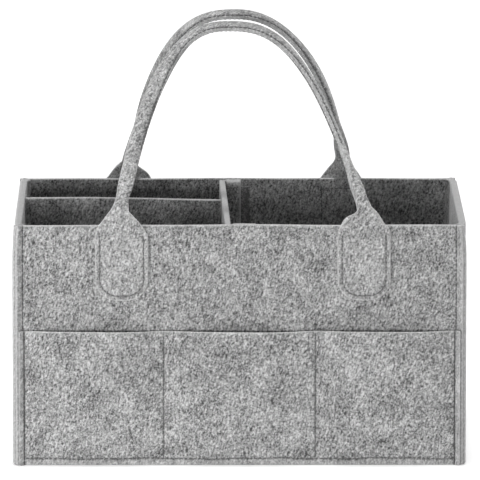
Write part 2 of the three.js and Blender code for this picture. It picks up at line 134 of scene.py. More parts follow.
TWIST_RISE = (8 * MM, 50 * MM)  # heights between which the strip takes its twist
LEFT_TWIST_END = (0.22, 0.42)  # shares of the arch between which the left leg's twist becomes the top's
RIGHT_TWIST_START = (0.52, 0.7)
FOLD_RISE = (8 * MM, 24 * MM)  # heights between which the flat strip is folded double
GRIP_SEAM_RISE = 60 * MM
GRIP_SEAM_START = 2 * MM
GRIP_SEAM_INSET = 1.5 * MM
GRIP_ROUND = 0.8  # below 1 the folded strip's section is squarer than an ellipse
GRIP_TURN = 0.985 * math.pi / 2  # nearly from the middle of a face to the edge
# Paleness along a grip's edges: pale fibre ends and a painted highlight where its edges turn from the lamps
GRIP_EDGE_HIGHLIGHT = 0.8
GRIP_HIGHLIGHT_WIDTH = 1.1 * MM
# Darkening of a grip: painted shade in the furrow between its open edges, and its seam, partly painted shade
# in the groove
GRIP_FURROW_SHADE = 0.35
GRIP_SEAM_SHADE = 0.55

# Dividers
MAIN_FLAPS = (12 * MM, 18 * MM)  # at its back and front end
LENGTH_FLAPS = (14 * MM, 14 * MM)
MAIN_SAG = 0.3  # share of the lengthwise divider's slope
BOW_HEIGHT = 30 * MM
BOW_START = (0.04, 0.36)  # shares of the divider between which its tape lets it lean back
BOW_END = (0.62, 0.96)
GIVE_REACH = 40 * MM  # how far from its end a divider gives way to what holds it
FLAP_TURN = 3 * MM
FLAP_TOP = 2.4 * MM
# Painted highlight on a flap's top and free edge, with its pale fibre ends
FLAP_HIGHLIGHT_TOP = (3 * MM, 2 * MM)
FLAP_HIGHLIGHT_END = 1.4 * MM

# Looks of the felt and the tapes
FIBRE_SIZE = (4.5 * MM, 1.2 * MM, 1.2 * MM)
FIBRE_TURNS = ((-60, 45), (-15, 40), (25, 50), (70, 135))  # steepness and heading in degrees
FIBRE_STOPS = (0.47, 0.57, 0.67)  # of the dark, middle and light fibres
CLOUD_SIZE = 16 * MM
CLOUD_WEIGHT = 0.14
# Most share of the pale edge colour: fibre ends and painted highlights
EDGE_PALE_AND_HIGHLIGHT = 0.7
# Most share of the seams' dark colour: pressed felt and painted shade in grooves and gaps
SEAM_AND_SHADE_DARKNESS = 0.75
BRISTLE_HEIGHT = 0.08 * MM
BRISTLE_SIZE = 2 * MM

# Steps of the meshes
WALL_STEP = 4 * MM
LEAF_STEP = 5 * MM
BASE_STEP = 6 * MM
TAPE_STEP = 1.3 * MM
TAPE_EDGE_STEP = 0.4 * MM
TAPE_EDGE_REACH = 0.8 * MM
TAB_STEP = 0.9 * MM
GRIP_STEP = 2 * MM
ARCH_STEPS = 6001
TAB_CORNER_STEPS = 22
STRIP_COLUMNS = 57
SEAM_STEPS = 40
BASE_SEAM_STEPS = 300
TAB_SEAM_STEPS = 41
SHARP_ANGLE = math.radians(60)
NEARLY_NOTHING = 1e-12

# Stage, with the camera fitted to the photograph
LAMPS = {  # place, size and power
    "key": ((-0.35, -4.1, 0.34), 0.7, 40),
    "left": ((-0.8, -1.0, 0.08), 0.14, 4.4),
    "fill": ((2.6, -2.6, 0.26), 0.7, 4),
    "back left": ((-2.6, 2.6, 0.26), 0.7, 24),
    "back right": ((2.6, 2.6, 0.26), 0.7, 24),
}
TOP_LIGHT = 2.3
TOP_LIGHT_ANGLE = math.radians(16)
SOFT_LIGHT = 0.045
FLOOR_HALF = 8.0
FLOOR_GLOW = 0.42
CAMERA_AZIMUTH = math.radians(-0.373)
CAMERA_ELEVATION = math.radians(9.289)
CAMERA_DISTANCE = 5.860
CAMERA_TARGET = Vector((0.00113, 0.0, 0.14861))
CAMERA_LENS = 590.75
CAMERA_SENSOR = 36


def length_property(name, description, default):
    """A size in metres that a user may change."""
    return bpy.props.FloatProperty(
        name=name, description=description, default=default, unit="LENGTH", precision=5
    )


def angle_property(name, description, degrees):
    """An angle that a user may change."""
    return bpy.props.FloatProperty(
        name=name, description=description, default=math.radians(degrees), subtype="ANGLE", unit="ROTATION"
    )


def share_property(name, description, default):
    """A share between 0 and 1 that a user may change."""
    return bpy.props.FloatProperty(
        name=name, description=description, default=default, min=0.0, max=1.0, subtype="FACTOR"
    )


def colour_property(name, description, default):
    """A colour as an sRGB hex value."""
    return bpy.props.StringProperty(name=name, description=description, default=default, maxlen=6)


class CaddyFeltSizes(bpy.types.PropertyGroup):
    """Sizes of the felt's soft shape"""

    edge_round: length_property("Edge round", "Radius that handling gives the cut edges", 0.7 * MM)
    fold_round: length_property("Fold round", "Length over which a fold turns, to each side", 2 * MM)
    lump_height: length_property("Lump height", "Unevenness of the felt's thickness", 0.1 * MM)
    lump_size: length_property("Lump size", "Width of one thick or thin place in the felt", 9 * MM)
    groove_depth: length_property("Groove depth", "How deep a seam pulls into the felt", 0.75 * MM)
    groove_width: length_property("Groove width", "Half width of the dip that a seam makes", 0.8 * MM)
    long_bulge: length_property("Long wall bulge", "How far a long wall stands out between seams", 1 * MM)
    left_bulge: length_property("Left wall bulge", "How far the left wall's rim bows out", 2.3 * MM)
    right_bulge: length_property("Right wall bulge", "How far the right wall's rim bows out", 3.5 * MM)
    lip_spread: length_property("Lip spread", "How much longer a corner lip is than the frame's", 1.8 * MM)
    lip_corner: length_property("Lip corner", "Radius at the foot of a corner lip", 2.5 * MM)
    lip_taper: length_property("Lip taper", "How much shorter a corner lip is at the rim", 1.6 * MM)
    # The corner lips are drawn paler: a painted highlight, partly pale fibre ends
    lip_highlight: share_property("Lip highlight", "How far handling has worn the corner lips pale", 0.35)
    rim_wave: length_property("Rim wave", "Unevenness of the cut along a rim", 0.3 * MM)
    divider_sag: length_property("Divider sag", "Slope of the lengthwise divider's top", 1.6 * MM)
    divider_bow: length_property("Divider bow", "How far the lengthwise divider's top leans back", 4 * MM)
    divider_slant: length_property("Divider slant", "How far the main divider's ends stand aside", 1.8 * MM)
    flap_curl: length_property("Flap curl", "How far a flap's top bends towards its wall", 2.2 * MM)
    flap_drop: length_property("Flap drop", "How far the lengthwise divider's flaps slope down", 3 * MM)
    flap_lift: length_property("Flap lift", "How far the main divider's front flap stands up", 1.2 * MM)


class CaddyHandleSizes(bpy.types.PropertyGroup):
    """Sizes of the folded handles; those of the back handle are seen from behind"""

    grip_width: length_property("Grip width", "Width of the folded strip", 11.5 * MM)
    grip_thickness: length_property("Grip thickness", "Thickness of the strip's two layers", 5.6 * MM)
    front_rise: length_property("Front rise", "Length of the front arch from rim to top", 158.7 * MM)
    front_top: length_property("Front top", "Sideways place of the front arch's top", -6.9 * MM)
    back_rise: length_property("Back rise", "Length of the back arch from rim to top", 158.3 * MM)
    back_top: length_property("Back top", "Sideways place of the back arch's top", 1.7 * MM)
    seam_depth: length_property("Seam depth", "Furrow between the open edges of the folded strip", 0.6 * MM)
    waist: share_property("Waist", "How much narrower the front strip is just above its necks", 0.19)
    front_left_twist: angle_property("Front left twist", "Turn of the front strip's left leg", -25)
    front_top_twist: angle_property("Front top twist", "Turn of the front strip at its top", 36)
    front_right_twist: angle_property("Front right twist", "Turn of the front strip's right leg", 70)
    back_left_twist: angle_property("Back left twist", "Turn of the back strip's left leg", -82)
    back_top_twist: angle_property("Back top twist", "Turn of the back strip at its top", -104)
    back_right_twist: angle_property("Back right twist", "Turn of the back strip's right leg", -60)


class CaddyStitchSizes(bpy.types.PropertyGroup):
    """Sizes of the sewing"""

    pitch: length_property("Pitch", "Distance from one stitch to the next", 3.4 * MM)
    length: length_property("Stitch length", "Thread that shows of one stitch", 2.7 * MM)
    thread: length_property("Thread", "Thickness of the thread", 0.75 * MM)


class CaddyColours(bpy.types.PropertyGroup):
    """Colours of the finishes"""

    dark_fibre: colour_property("Dark fibre", "Darkest fibres of the heathered felt", "4a4a4a")
    middle_fibre: colour_property("Middle fibre", "Most fibres of the heathered felt", "a0a0a0")
    light_fibre: colour_property("Light fibre", "Palest fibres of the heathered felt", "dcdcdc")
    # Pale fibre ends at a cut edge; the same colour paints highlights on lit edges and faces
    cut_edge: colour_property("Cut edge", "Fibre ends at a cut edge", "d8d8d8")
    thread: colour_property("Thread", "Sewing thread", "6c6c6c")
    loop_tape: colour_property("Loop tape", "Brushed loops", "a4a4a4")
    hook_tape: colour_property("Hook tape", "Moulded hooks", "969696")
    floor: colour_property("Floor", "Pale floor", "f2f2f2")


PROPERTY_GROUPS = {
    "caddy_felt": CaddyFeltSizes,
    "caddy_handle": CaddyHandleSizes,
    "caddy_stitch": CaddyStitchSizes,
    "caddy_colours": CaddyColours,
}


def smooth(low, high, value):
    """Eases from 0 at low to 1 at high."""
    share = np.clip((value - low) / (high - low), 0, 1)
    return share * share * (3 - 2 * share)


def dip(distance, width):
    """A soft dip of depth 1 that is about `width` wide to each side."""
    return np.exp(-((distance / width) ** 2))


def grid_lines(start, end, step, marks=(), fine=0.6 * MM, reach=2.4 * MM):
    """Grid lines about `step` apart, and `fine` apart beside the ends and each mark."""
    even = np.linspace(start, end, max(2, round((end - start) / step) + 1))
    close = np.arange(-reach, reach + fine / 2, fine)
    found = np.concatenate([even, *(mark + close for mark in (start, end, *marks))])
    kept = [start]
    for line in np.sort(found[(found > start) & (found < end)]):
        if line - kept[-1] > fine / 2 and end - line > fine / 2:
            kept.append(line)
    return np.array([*kept, end])


def lumps(points, size):
    """Soft unevenness between -1 and 1 from crossing waves; the same on every run."""
    rng = np.random.default_rng(7)
    waves = 10
    total = np.zeros(points.shape[:-1])
    for _ in range(waves):
        direction = rng.normal(size=3)
        direction *= rng.uniform(0.7, 1.6) / (size * np.linalg.norm(direction))
        total += np.sin(2 * np.pi * points @ direction + rng.uniform(0, 2 * np.pi))
    return total * 2 / waves


class Wall:
    """One wall in its own frame: x along it, its inner face on y = 0, its outside towards -y."""

    def __init__(self, side, half, turn, offset, bulge):
        self.side = side
        self.half = half
        self.turn = turn
        self.offset = np.array(offset)
        self.bulge = bulge

    def wave(self, x, z):
        """How far the wall stands out from its plane: nothing at its foot and its corners, nor at the tape
        of a long wall. A short wall turns out close to its corners."""
        if self.side in LONG_WALLS:
            share = x / self.half
            uneven = 0.8 + 0.2 * np.sin(9 * share)
            envelope = np.clip(1 - share**2, 0, 1) * smooth(*TAPE_HOLD, np.abs(share)) * uneven
        else:
            envelope = smooth(0, CORNER_TURN, self.half - np.abs(x))
        return self.bulge * envelope * smooth(WAVE_START, 1.0, z / RIM)

    def place(self, x, y, z, soft=1.0):
        """Points of the wall's own frame as points of the caddy, moved out by the wall's wave."""
        moved = y - self.wave(x, z) * soft
        cosine = math.cos(self.turn)
        sine = math.sin(self.turn)
        turned_points = np.broadcast_arrays(x * cosine - moved * sine, x * sine + moved * cosine, z)
        return np.stack(turned_points, axis=-1) + self.offset


def walls():
    """The four walls as they stand in the frame."""
    felt = bpy.context.scene.caddy_felt
    return {
        "front": Wall("front", INNER_X, 0, (0, -INNER_Y, 0), felt.long_bulge),
        "back": Wall("back", INNER_X, math.pi, (0, INNER_Y, 0), felt.long_bulge),
        "left": Wall("left", INNER_Y, -math.pi / 2, (-INNER_X, 0, 0), felt.left_bulge),
        "right": Wall("right", INNER_Y, math.pi / 2, (INNER_X, 0, 0), felt.right_bulge),
    }


def fold_at(half, depth):
    """Where a layer `depth` outside a wall's inner face turns out into the corner seam."""
    return half + depth - math.sqrt(2) * (depth + LAYER_GAP / 2)


def lip_length(half, depth):
    """Length of the layer beyond that fold."""
    end = half + (SEAM_ALLOWANCE - depth - LAYER_GAP / 2) * math.sqrt(0.5)
    return (end - fold_at(half, depth)) * math.sqrt(2) + bpy.context.scene.caddy_felt.lip_spread


def bend(along, fold, round_length):
    """How far a folded layer reaches before its fold (at most 0) and beyond it, with the fold rounded."""
    beyond = np.abs(along) - fold
    share = np.clip((beyond + round_length) / (2 * round_length), 0, 1)
    before = np.where(beyond < -round_length, beyond, -round_length * (1 - share) ** 2)
    after = np.where(beyond > round_length, beyond, round_length * share**2)
    return before, after


def edge_distance(u, v):
    """Distance of a rectangular sheet's grid points from its nearest edge."""
    sides = [u - u.min(), u.max() - u, v - v.min(), v.max() - v]
    return np.minimum.reduce(sides)


def linked(name, data):
    """A new object at the origin of the scene."""
    made = bpy.data.objects.new(name, data)
    bpy.context.scene.collection.objects.link(made)
    return made


def finished_mesh(name, points, faces, attributes):
    """A smooth-shaded object with its point attributes."""
    mesh = bpy.data.meshes.new(name)
    mesh.from_pydata(points.tolist(), [], faces.tolist())
    for attribute, values in attributes.items():
        layer = mesh.attributes.new(attribute, "FLOAT", "POINT")
        layer.data.foreach_set("value", np.asarray(values, dtype=np.float32).ravel())
    mesh.shade_smooth()
    mesh.set_sharp_from_angle(angle=SHARP_ANGLE)
    return linked(name, mesh)


def closed_sheet(name, outer, inner, attributes, cells=None):
    """A closed mesh between two grids of points, with rows going up, from the cells that are kept."""
    rows, columns = outer.shape[:2]
    index = np.arange(rows * columns).reshape(rows, columns)
    corners = [index[:-1, :-1], index[:-1, 1:], index[1:, 1:], index[1:, :-1]]
    front = np.stack(corners, axis=-1)
    front = front[cells] if cells is not None else front.reshape(-1, 4)
    sides = np.concatenate([front[:, [k, (k + 1) % 4]] for k in range(4)])
    key = sides[:, 0] * index.size + sides[:, 1]
    reverse = sides[:, 1] * index.size + sides[:, 0]
    rim = sides[~np.isin(key, reverse)]
    behind = index.size
    edge = np.stack([rim[:, 1], rim[:, 0], rim[:, 0] + behind, rim[:, 1] + behind], axis=-1)
    faces = np.concatenate([front, front[:, ::-1] + behind, edge])
    points = np.concatenate([outer.reshape(-1, 3), inner.reshape(-1, 3)])
    used, faces = np.unique(faces, return_inverse=True)
    kept = {attribute: np.asarray(values).ravel()[used] for attribute, values in attributes.items()}
    return finished_mesh(name, points[used], faces.reshape(-1, 4), kept)


def rounded_half(thickness, edge):
    """Half the thickness of a felt sheet, whose cut edges are rounded by handling."""
    radius = min(bpy.context.scene.caddy_felt.edge_round, thickness * MOST_ROUND)
    inside = radius - np.minimum(edge, radius)
    return thickness / 2 - radius + np.sqrt(radius**2 - inside**2)


def felt_sheet(
    name, middle, thickness, edge, press_and_shade_out=0.0, press_and_shade_in=0.0, cells=None, snug=(0.0, 0.0), pale=0.0
):
    """A felt sheet round its middle surface. `edge` is each point's distance from the cut edges. From 0 to
    1, sewing presses into its outer and inner face and darkens it, partly as painted shade in grooves and
    gaps, `snug` says how far these fit against another layer and so keep a sharp edge, and `pale` how far a
    place is drawn as pale as its cut edges are: a painted highlight, or plain paleness below the base seam."""
    felt = bpy.context.scene.caddy_felt
    normal = np.cross(np.gradient(middle, axis=1), np.gradient(middle, axis=0))
    normal /= np.maximum(np.linalg.norm(normal, axis=2, keepdims=True), NEARLY_NOTHING)
    half = rounded_half(thickness, edge)
    sharp = thickness / 2 + LAYER_GAP / 2
    uneven = felt.lump_height * lumps(middle, felt.lump_size)
    faces = []
    marks = []
    for sign, pressed, fit in ((1, press_and_shade_out, snug[0]), (-1, press_and_shade_in, snug[1])):
        mark = pressed + np.zeros(edge.shape)
        depth = half + (sharp - half) * fit + sign * uneven - felt.groove_depth * mark
        faces.append(middle + sign * normal * depth[..., None])
        marks.append(mark)
    # Pale cut edges, fibre ends with a painted highlight, and the paleness given by `pale`
    worn = np.maximum(dip(edge, EDGE_BAND_WIDTH), pale)
    attributes = {"cut_edge": np.stack([worn, worn]), "pressed": np.stack(marks)}
    return closed_sheet(name, *faces, attributes, cells)


def srgb(hex_colour):
    """An sRGB hex value as linear RGBA."""
    parts = [int(hex_colour[i:i + 2], 16) / 255 for i in (0, 2, 4)]
    return [c / 12.92 if c <= 0.04045 else ((c + 0.055) / 1.055) ** 2.4 for c in parts] + [1.0]


def shaded(hex_colour, shade):
    """A colour as linear RGBA, made paler or darker by a factor."""
    return [shade * part for part in srgb(hex_colour)[:3]] + [1.0]


def add_node(tree, kind, values=None, links=None, **settings):
    """Adds one node with its settings, the values of its inputs and the links into it."""
    node = tree.nodes.new(kind)
    for name, value in settings.items():
        setattr(node, name, value)
    for name, value in (values or {}).items():
        node.inputs[name].default_value = value
    for name, socket in (links or {}).items():
        tree.links.new(socket, node.inputs[name])
    return node


def new_material(name):
    """An empty node material and its tree."""
    material = bpy.data.materials.new(name)
    material.use_nodes = True
    material.node_tree.nodes.clear()
    return material, material.node_tree


def grey_felt(name, shade, contrast):
    """Heathered needle felt of polyester fibre: light and dark fibres tangled in all directions give a
    speckle of short strands, with soft clouds in it. Cut edges show pale fibre ends, and the same pale
    colour paints highlights on some edges and faces; sewn lines are darkened where they sink in, partly
    as painted shade in their grooves, folds and gaps. The real fibres are hair fine, so they are drawn as
    strands about a millimetre wide. One copy of the felt is paler than another by the factor `shade`, and
    its fibres differ by `contrast`; the handles' paler copy is painted light, for the light from above
    that they catch."""
    colours = bpy.context.scene.caddy_colours
    material, tree = new_material(name)
    place = add_node(tree, "ShaderNodeTexCoord").outputs["Object"]
    clouds = add_node(
        tree, "ShaderNodeTexNoise",
        {"Scale": 1 / CLOUD_SIZE, "Detail": 2.0, "Roughness": 0.6}, {"Vector": place},
    )
    strands = None
    for steepness, heading in FIBRE_TURNS:
        stretched = add_node(
            tree, "ShaderNodeMapping",
            {"Rotation": (0, math.radians(steepness), math.radians(heading)), "Scale": FIBRE_SIZE},
            {"Vector": place}, vector_type="TEXTURE",
        )
        strand = add_node(
            tree, "ShaderNodeTexNoise",
            {"Scale": 1.0, "Detail": 2.0, "Roughness": 0.55, "Distortion": 0.5},
            {"Vector": stretched.outputs[0]},
        )
        total = add_node(
            tree, "ShaderNodeMath", {1: 1 / len(FIBRE_TURNS), 2: 0.0}, {0: strand.outputs["Fac"]},
            operation="MULTIPLY_ADD",
        )
        if strands:
            tree.links.new(strands, total.inputs[2])
        strands = total.outputs[0]
    heather = add_node(
        tree, "ShaderNodeMath", {1: CLOUD_WEIGHT}, {0: clouds.outputs["Fac"], 2: strands},
        operation="MULTIPLY_ADD",
    )
    ramp = add_node(tree, "ShaderNodeValToRGB", links={"Fac": heather.outputs[0]})
    stops = ramp.color_ramp.elements
    middle = np.array(shaded(colours.middle_fibre, shade))
    dark_stop, middle_stop, light_stop = FIBRE_STOPS
    outer_stops = ((stops[0], dark_stop, colours.dark_fibre), (stops[1], light_stop, colours.light_fibre))
    for stop, position, fibre in outer_stops:
        stop.position = position
        stop.color = middle + contrast * (shaded(fibre, shade) - middle)
    stops.new(middle_stop).color = middle
    colour = ramp.outputs["Color"]
    # Pale fibre ends and painted highlights, then pressed seams and painted shade
    pale_and_lit_edge = ("cut_edge", EDGE_PALE_AND_HIGHLIGHT, colours.cut_edge)
    # the dark seam colour is partly painted shade in grooves, folds and gaps
    dark_seam_and_shade = ("pressed", SEAM_AND_SHADE_DARKNESS, colours.dark_fibre)
    for mark, most, end in (pale_and_lit_edge, dark_seam_and_shade):
        marked = add_node(tree, "ShaderNodeAttribute", attribute_name=mark)
        share = add_node(
            tree, "ShaderNodeMath", {1: most}, {0: marked.outputs["Fac"]}, operation="MULTIPLY",
            use_clamp=True,
        )
        mixed = add_node(
            tree, "ShaderNodeMix", {7: srgb(end)}, {0: share.outputs[0], 6: colour}, data_type="RGBA"
        )
        colour = mixed.outputs[2]
    bump = add_node(tree, "ShaderNodeBump", {"Strength": 0.6, "Distance": 0.5 * MM}, {"Height": strands})
    shader = add_node(
        tree, "ShaderNodeBsdfPrincipled",
        {"Roughness": 0.95, "Specular IOR Level": 0.12, "Sheen Weight": 0.5, "Sheen Roughness": 0.45},
        {"Base Color": colour, "Normal": bump.outputs["Normal"]},
    )
    add_node(tree, "ShaderNodeOutputMaterial", links={"Surface": shader.outputs["BSDF"]})
    return material


def sewing_thread():
    """Spun polyester thread: a dull strand whose twist shows as fine light and dark."""
    colours = bpy.context.scene.caddy_colours
    material, tree = new_material("spun polyester thread")
    place = add_node(tree, "ShaderNodeTexCoord").outputs["Object"]
    twist = add_node(
        tree, "ShaderNodeTexNoise", {"Scale": 1 / (0.5 * MM), "Detail": 1.0}, {"Vector": place}
    )
    shade = add_node(
        tree, "ShaderNodeMix", {6: srgb(colours.dark_fibre), 7: srgb(colours.thread)},
        {0: twist.outputs["Fac"]}, data_type="RGBA",
    )
    shader = add_node(
        tree, "ShaderNodeBsdfPrincipled", {"Roughness": 0.7, "Specular IOR Level": 0.3},
        {"Base Color": shade.outputs[2]},
    )
    add_node(tree, "ShaderNodeOutputMaterial", links={"Surface": shader.outputs["BSDF"]})
    return material


def tape_material(name, hex_colour, cell, roughness):
    """Nylon fastening tape: a close field of bristling loops or hooks, `cell` apart."""
    material, tree = new_material(name)
    place = add_node(tree, "ShaderNodeTexCoord").outputs["Object"]
    field = add_node(tree, "ShaderNodeTexVoronoi", {"Scale": 1 / cell}, {"Vector": place})
    worn = add_node(tree, "ShaderNodeTexNoise", {"Scale": 1 / (3 * cell), "Detail": 2.0}, {"Vector": place})
    depth = add_node(
        tree, "ShaderNodeMath", {1: 1.6, 2: -0.45}, {0: worn.outputs["Fac"]}, operation="MULTIPLY_ADD"
    )
    low = add_node(
        tree, "ShaderNodeMath", links={0: field.outputs["Distance"], 1: depth.outputs[0]}, operation="ADD",
        use_clamp=True,
    )
    pale = shaded(hex_colour, 1.5)
    dark = shaded(hex_colour, 0.4)
    shade = add_node(tree, "ShaderNodeMix", {6: pale, 7: dark}, {0: low.outputs[0]}, data_type="RGBA")
    bump = add_node(
        tree, "ShaderNodeBump", {"Strength": 0.8, "Distance": 0.4 * MM},
        {"Height": field.outputs["Distance"]}, invert=True,
    )
    shader = add_node(
        tree, "ShaderNodeBsdfPrincipled", {"Roughness": roughness},
        {"Base Color": shade.outputs[2], "Normal": bump.outputs["Normal"]},
    )
    add_node(tree, "ShaderNodeOutputMaterial", links={"Surface": shader.outputs["BSDF"]})
    return material


FINISHES = {}


def finish_of(name):
    """The finish of that name, made once."""
    colours = bpy.context.scene.caddy_colours
    makers = {
        "felt": (grey_felt, "grey needle felt", 1.0, 1.0),
        "pocket felt": (grey_felt, "grey needle felt of the pockets", 1.05, 1.0),
        # The handles' felt is painted paler for the light from above that they catch
        "handle felt painted paler": (grey_felt, "grey needle felt of the handles", 1.18, 0.84),
        "thread": (sewing_thread,),
        "loops": (tape_material, "brushed nylon loops", colours.loop_tape, 1.1 * MM, 0.9),
        "hooks": (tape_material, "moulded nylon hooks", colours.hook_tape, 1.4 * MM, 0.55),
    }
    if name not in FINISHES:
        maker, *values = makers[name]
        FINISHES[name] = maker(*values)
    return FINISHES[name]


def settle(piece, finish, body, slot, *nodes):
    """Gives a piece its finish and body, and lets it stand for its nodes. `slot` is not used."""
    piece.data.materials.append(finish_of(finish))
    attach(piece, body)
    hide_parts(*nodes)


class Seams:
    """The lines of sewing that press into one layer of a wall: upright `columns` between two heights, the
    seam along its base and its corner folds, each sunk in by its own share and darkened as far, the
    darkening partly painted shade in the grooves and folds."""

    def __init__(self, columns=(), low=0.0, high=RIM, weight=0.75, base=0.6, fold=0.5):
        self.columns = columns
        self.low = low
        self.high = high
        self.weight = weight
        self.base = base
        self.fold = fold

    def pressed(self, along, z, fold):
        """How far each point of the outer face sinks in and darkens, partly as painted shade, from 0 to 1.
        """
        width = bpy.context.scene.caddy_felt.groove_width
        found = self.fold * dip(np.abs(along) - fold, width)
        flat = np.abs(along) < fold
        found = np.maximum(found, self.base * flat * dip(z - base_seam(along), width))
        upright = smooth(self.low - MM, self.low + MM, z) * (1 - smooth(self.high - MM, self.high + MM, z))
        for column in self.columns:
            found = np.maximum(found, self.weight * upright * dip(along - column, width))
        return found


def base_seam(x):
    """Height of the sewing along the foot of a wall, which wanders a little."""
    height = BASE_SEAM_HEIGHT
    for rise, length, start in BASE_SEAM_WAVES:
        height = height + rise * np.sin(x / length + start)
    return height


def pocket_bow(along, z):
    """How far the pockets stand open: nothing at their seams and foot, most at the middle of each mouth."""
    fold = fold_at(INNER_X, POCKET_DEPTH)
    edges = np.array([-fold, -POCKET_SEAM, POCKET_SEAM, fold])
    pocket = np.clip(np.searchsorted(edges, along) - 1, 0, len(edges) - 2)
    across = np.clip((along - edges[pocket]) / (edges[pocket + 1] - edges[pocket]), 0, 1)
    up = np.clip((z - POCKET_BOW_START) / (POCKET_TOP - POCKET_BOW_START), 0, 1)
    return POCKET_BOW * (1 - (2 * across - 1) ** 4) ** 2 * np.sin(up * np.pi / 2)


def rim_cut(along, z, depth, top):
    """Unevenness of the cut along the top of a layer, which fades to nothing at half its height."""
    short, long = RIM_WAVES
    wave = bpy.context.scene.caddy_felt.rim_wave
    cut = wave * np.sin(along / short + depth / MM) * np.sin(along / long + 1)
    return cut * smooth(top / 2, top, z)


def wall_layer(wall, name, depth, thickness, top, seams, bow=None):
    """A layer of a wall with its ends turned out at 45 degrees, and the size that it was cut to."""
    felt = bpy.context.scene.caddy_felt
    fold = fold_at(wall.half, depth)
    lip = lip_length(wall.half, depth)
    end = fold + lip
    columns = grid_lines(-end, end, WALL_STEP, (-fold, fold, *seams.columns))
    along, z = np.meshgrid(columns, grid_lines(0, top, WALL_STEP, (BASE_SEAM_HEIGHT,)))
    before, after = bend(along, fold, felt.fold_round)
    taper = felt.lip_taper / lip * smooth(RIM - LIP_TAPER_DROP, RIM, z)
    aside = after * (1 - taper) * math.sqrt(0.5)
    x = np.sign(along) * (fold + before + aside)
    y = -depth - aside - (bow(along, z) if bow else 0)
    from_tip = np.clip(end - np.abs(along), 0, felt.lip_corner)
    foot = felt.lip_corner - np.sqrt(felt.lip_corner**2 - (felt.lip_corner - from_tip) ** 2)
    height = z + rim_cut(along, z, depth, top) + foot * (1 - smooth(0, LIP_FOOT_RISE, z))
    middle = wall.place(x, y, height)
    edge = edge_distance(along, z)
    pressed = seams.pressed(along, z, fold)
    # Painted shade on a pocket's inner face along its edges, for the gap behind it
    mouth_shade = dip(edge, EDGE_BAND_WIDTH) if bow else 0.0
    lined = 0.0 if wall.side in LONG_WALLS else smooth(0, SNUG_TURN, fold - np.abs(along))
    # Paler below the base seam
    paler_below_seam = HEM_PALENESS * (1 - smooth(-HEM_BLUR, HEM_BLUR, z - base_seam(along) + MM))
    # Painted highlight on the corner lips beyond their folds, partly pale fibre ends
    lit_lip = felt.lip_highlight * smooth(0, LIP_HIGHLIGHT_START, np.abs(along) - fold)
    press_and_shade_in = np.maximum(INNER_PRESS * pressed, mouth_shade)
    piece = felt_sheet(
        name, middle, thickness, edge, pressed, press_and_shade_in, snug=(0.0, lined),
        pale=np.maximum(paler_below_seam, lit_lip),
    )
    return piece, (2 * end, top)


class CADDY_OT_walls(bpy.types.Operator):
    """Makes the four walls and the linings of the short ones"""

    bl_idname = "caddy.walls"
    bl_label = "Walls"

    def execute(self, context):
        for side, wall in walls().items():
            name = f"{side}_side_panel"
            seams = Seams()
            if side in LONG_WALLS:
                name = f"{side}_panel"
                heights = (POCKET_TOP + THREAD_END, RIM - THREAD_END)
                seams = Seams(tape_seams(wall), *heights, weight=0.22, base=0.0)
            piece, flat = wall_layer(wall, f"{name}_felt", WALL_FELT / 2, WALL_FELT, RIM, seams)
            settle(piece, "felt", "shell", "body_felt", name)
        for side in ("left", "right"):
            self.lining(walls()[side], f"{side}_side_lining")
        return {"FINISHED"}

    def lining(self, wall, name):
        """The second layer inside a short wall."""
        low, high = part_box(name)
        along, z = np.meshgrid(grid_lines(low.y, high.y, LEAF_STEP), grid_lines(low.z, high.z, LEAF_STEP))
        height = z + rim_cut(along, z, WALL_FELT / 2, RIM)
        middle = wall.place(along, LAYER_GAP + WALL_FELT / 2, height)
        piece = felt_sheet(f"{name}_felt", middle, WALL_FELT, edge_distance(along, z), snug=(1.0, 0.0))
        settle(piece, "felt", "shell", "body_felt", name)


def tape_seams(wall):
    """Where the two seams of a long wall's loop tape run, in the wall's own frame."""
    low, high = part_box(f"{wall.side}_loop_tape")
    facing = round(math.cos(wall.turn))
    return sorted([facing * (low.x + TAPE_SEAM_INSET), facing * (high.x - TAPE_SEAM_INSET)])


class CADDY_OT_base(bpy.types.Operator):
    """Makes the base, a sheet with its corners cut out and its edges turned up inside the walls"""

    bl_idname = "caddy.base"
    bl_label = "Base"

    def execute(self, context):
        felt = context.scene.caddy_felt
        fold_x = BASE_HIGH.x - WALL_FELT / 2
        fold_y = BASE_HIGH.y - WALL_FELT / 2
        lip = BASE_HIGH.z - WALL_FELT / 2
        notch = felt.fold_round
        columns = grid_lines(-fold_x - lip, fold_x + lip, BASE_STEP, (-fold_x, fold_x))
        rows = grid_lines(-fold_y - lip, fold_y + lip, BASE_STEP, (-fold_y, fold_y))
        u, v = np.meshgrid(columns, rows)
        before_x, up_x = bend(u, fold_x, felt.fold_round)
        before_y, up_y = bend(v, fold_y, felt.fold_round)
        x = np.sign(u) * (fold_x + before_x)
        y = np.sign(v) * (fold_y + before_y)
        middle = np.stack([x, y, WALL_FELT / 2 + np.maximum(up_x, up_y)], axis=-1)
        cut_x = np.abs(u) > fold_x - notch
        cut_y = np.abs(v) > fold_y - notch
        inside = ~(cut_x & cut_y)
        cells = inside[:-1, :-1] & inside[1:, :-1] & inside[:-1, 1:] & inside[1:, 1:]
        piece = felt_sheet("base_felt", middle, WALL_FELT, edge_distance(u, v), cells=cells)
        settle(piece, "felt", "shell", "body_felt", "base_panel")
        return {"FINISHED"}


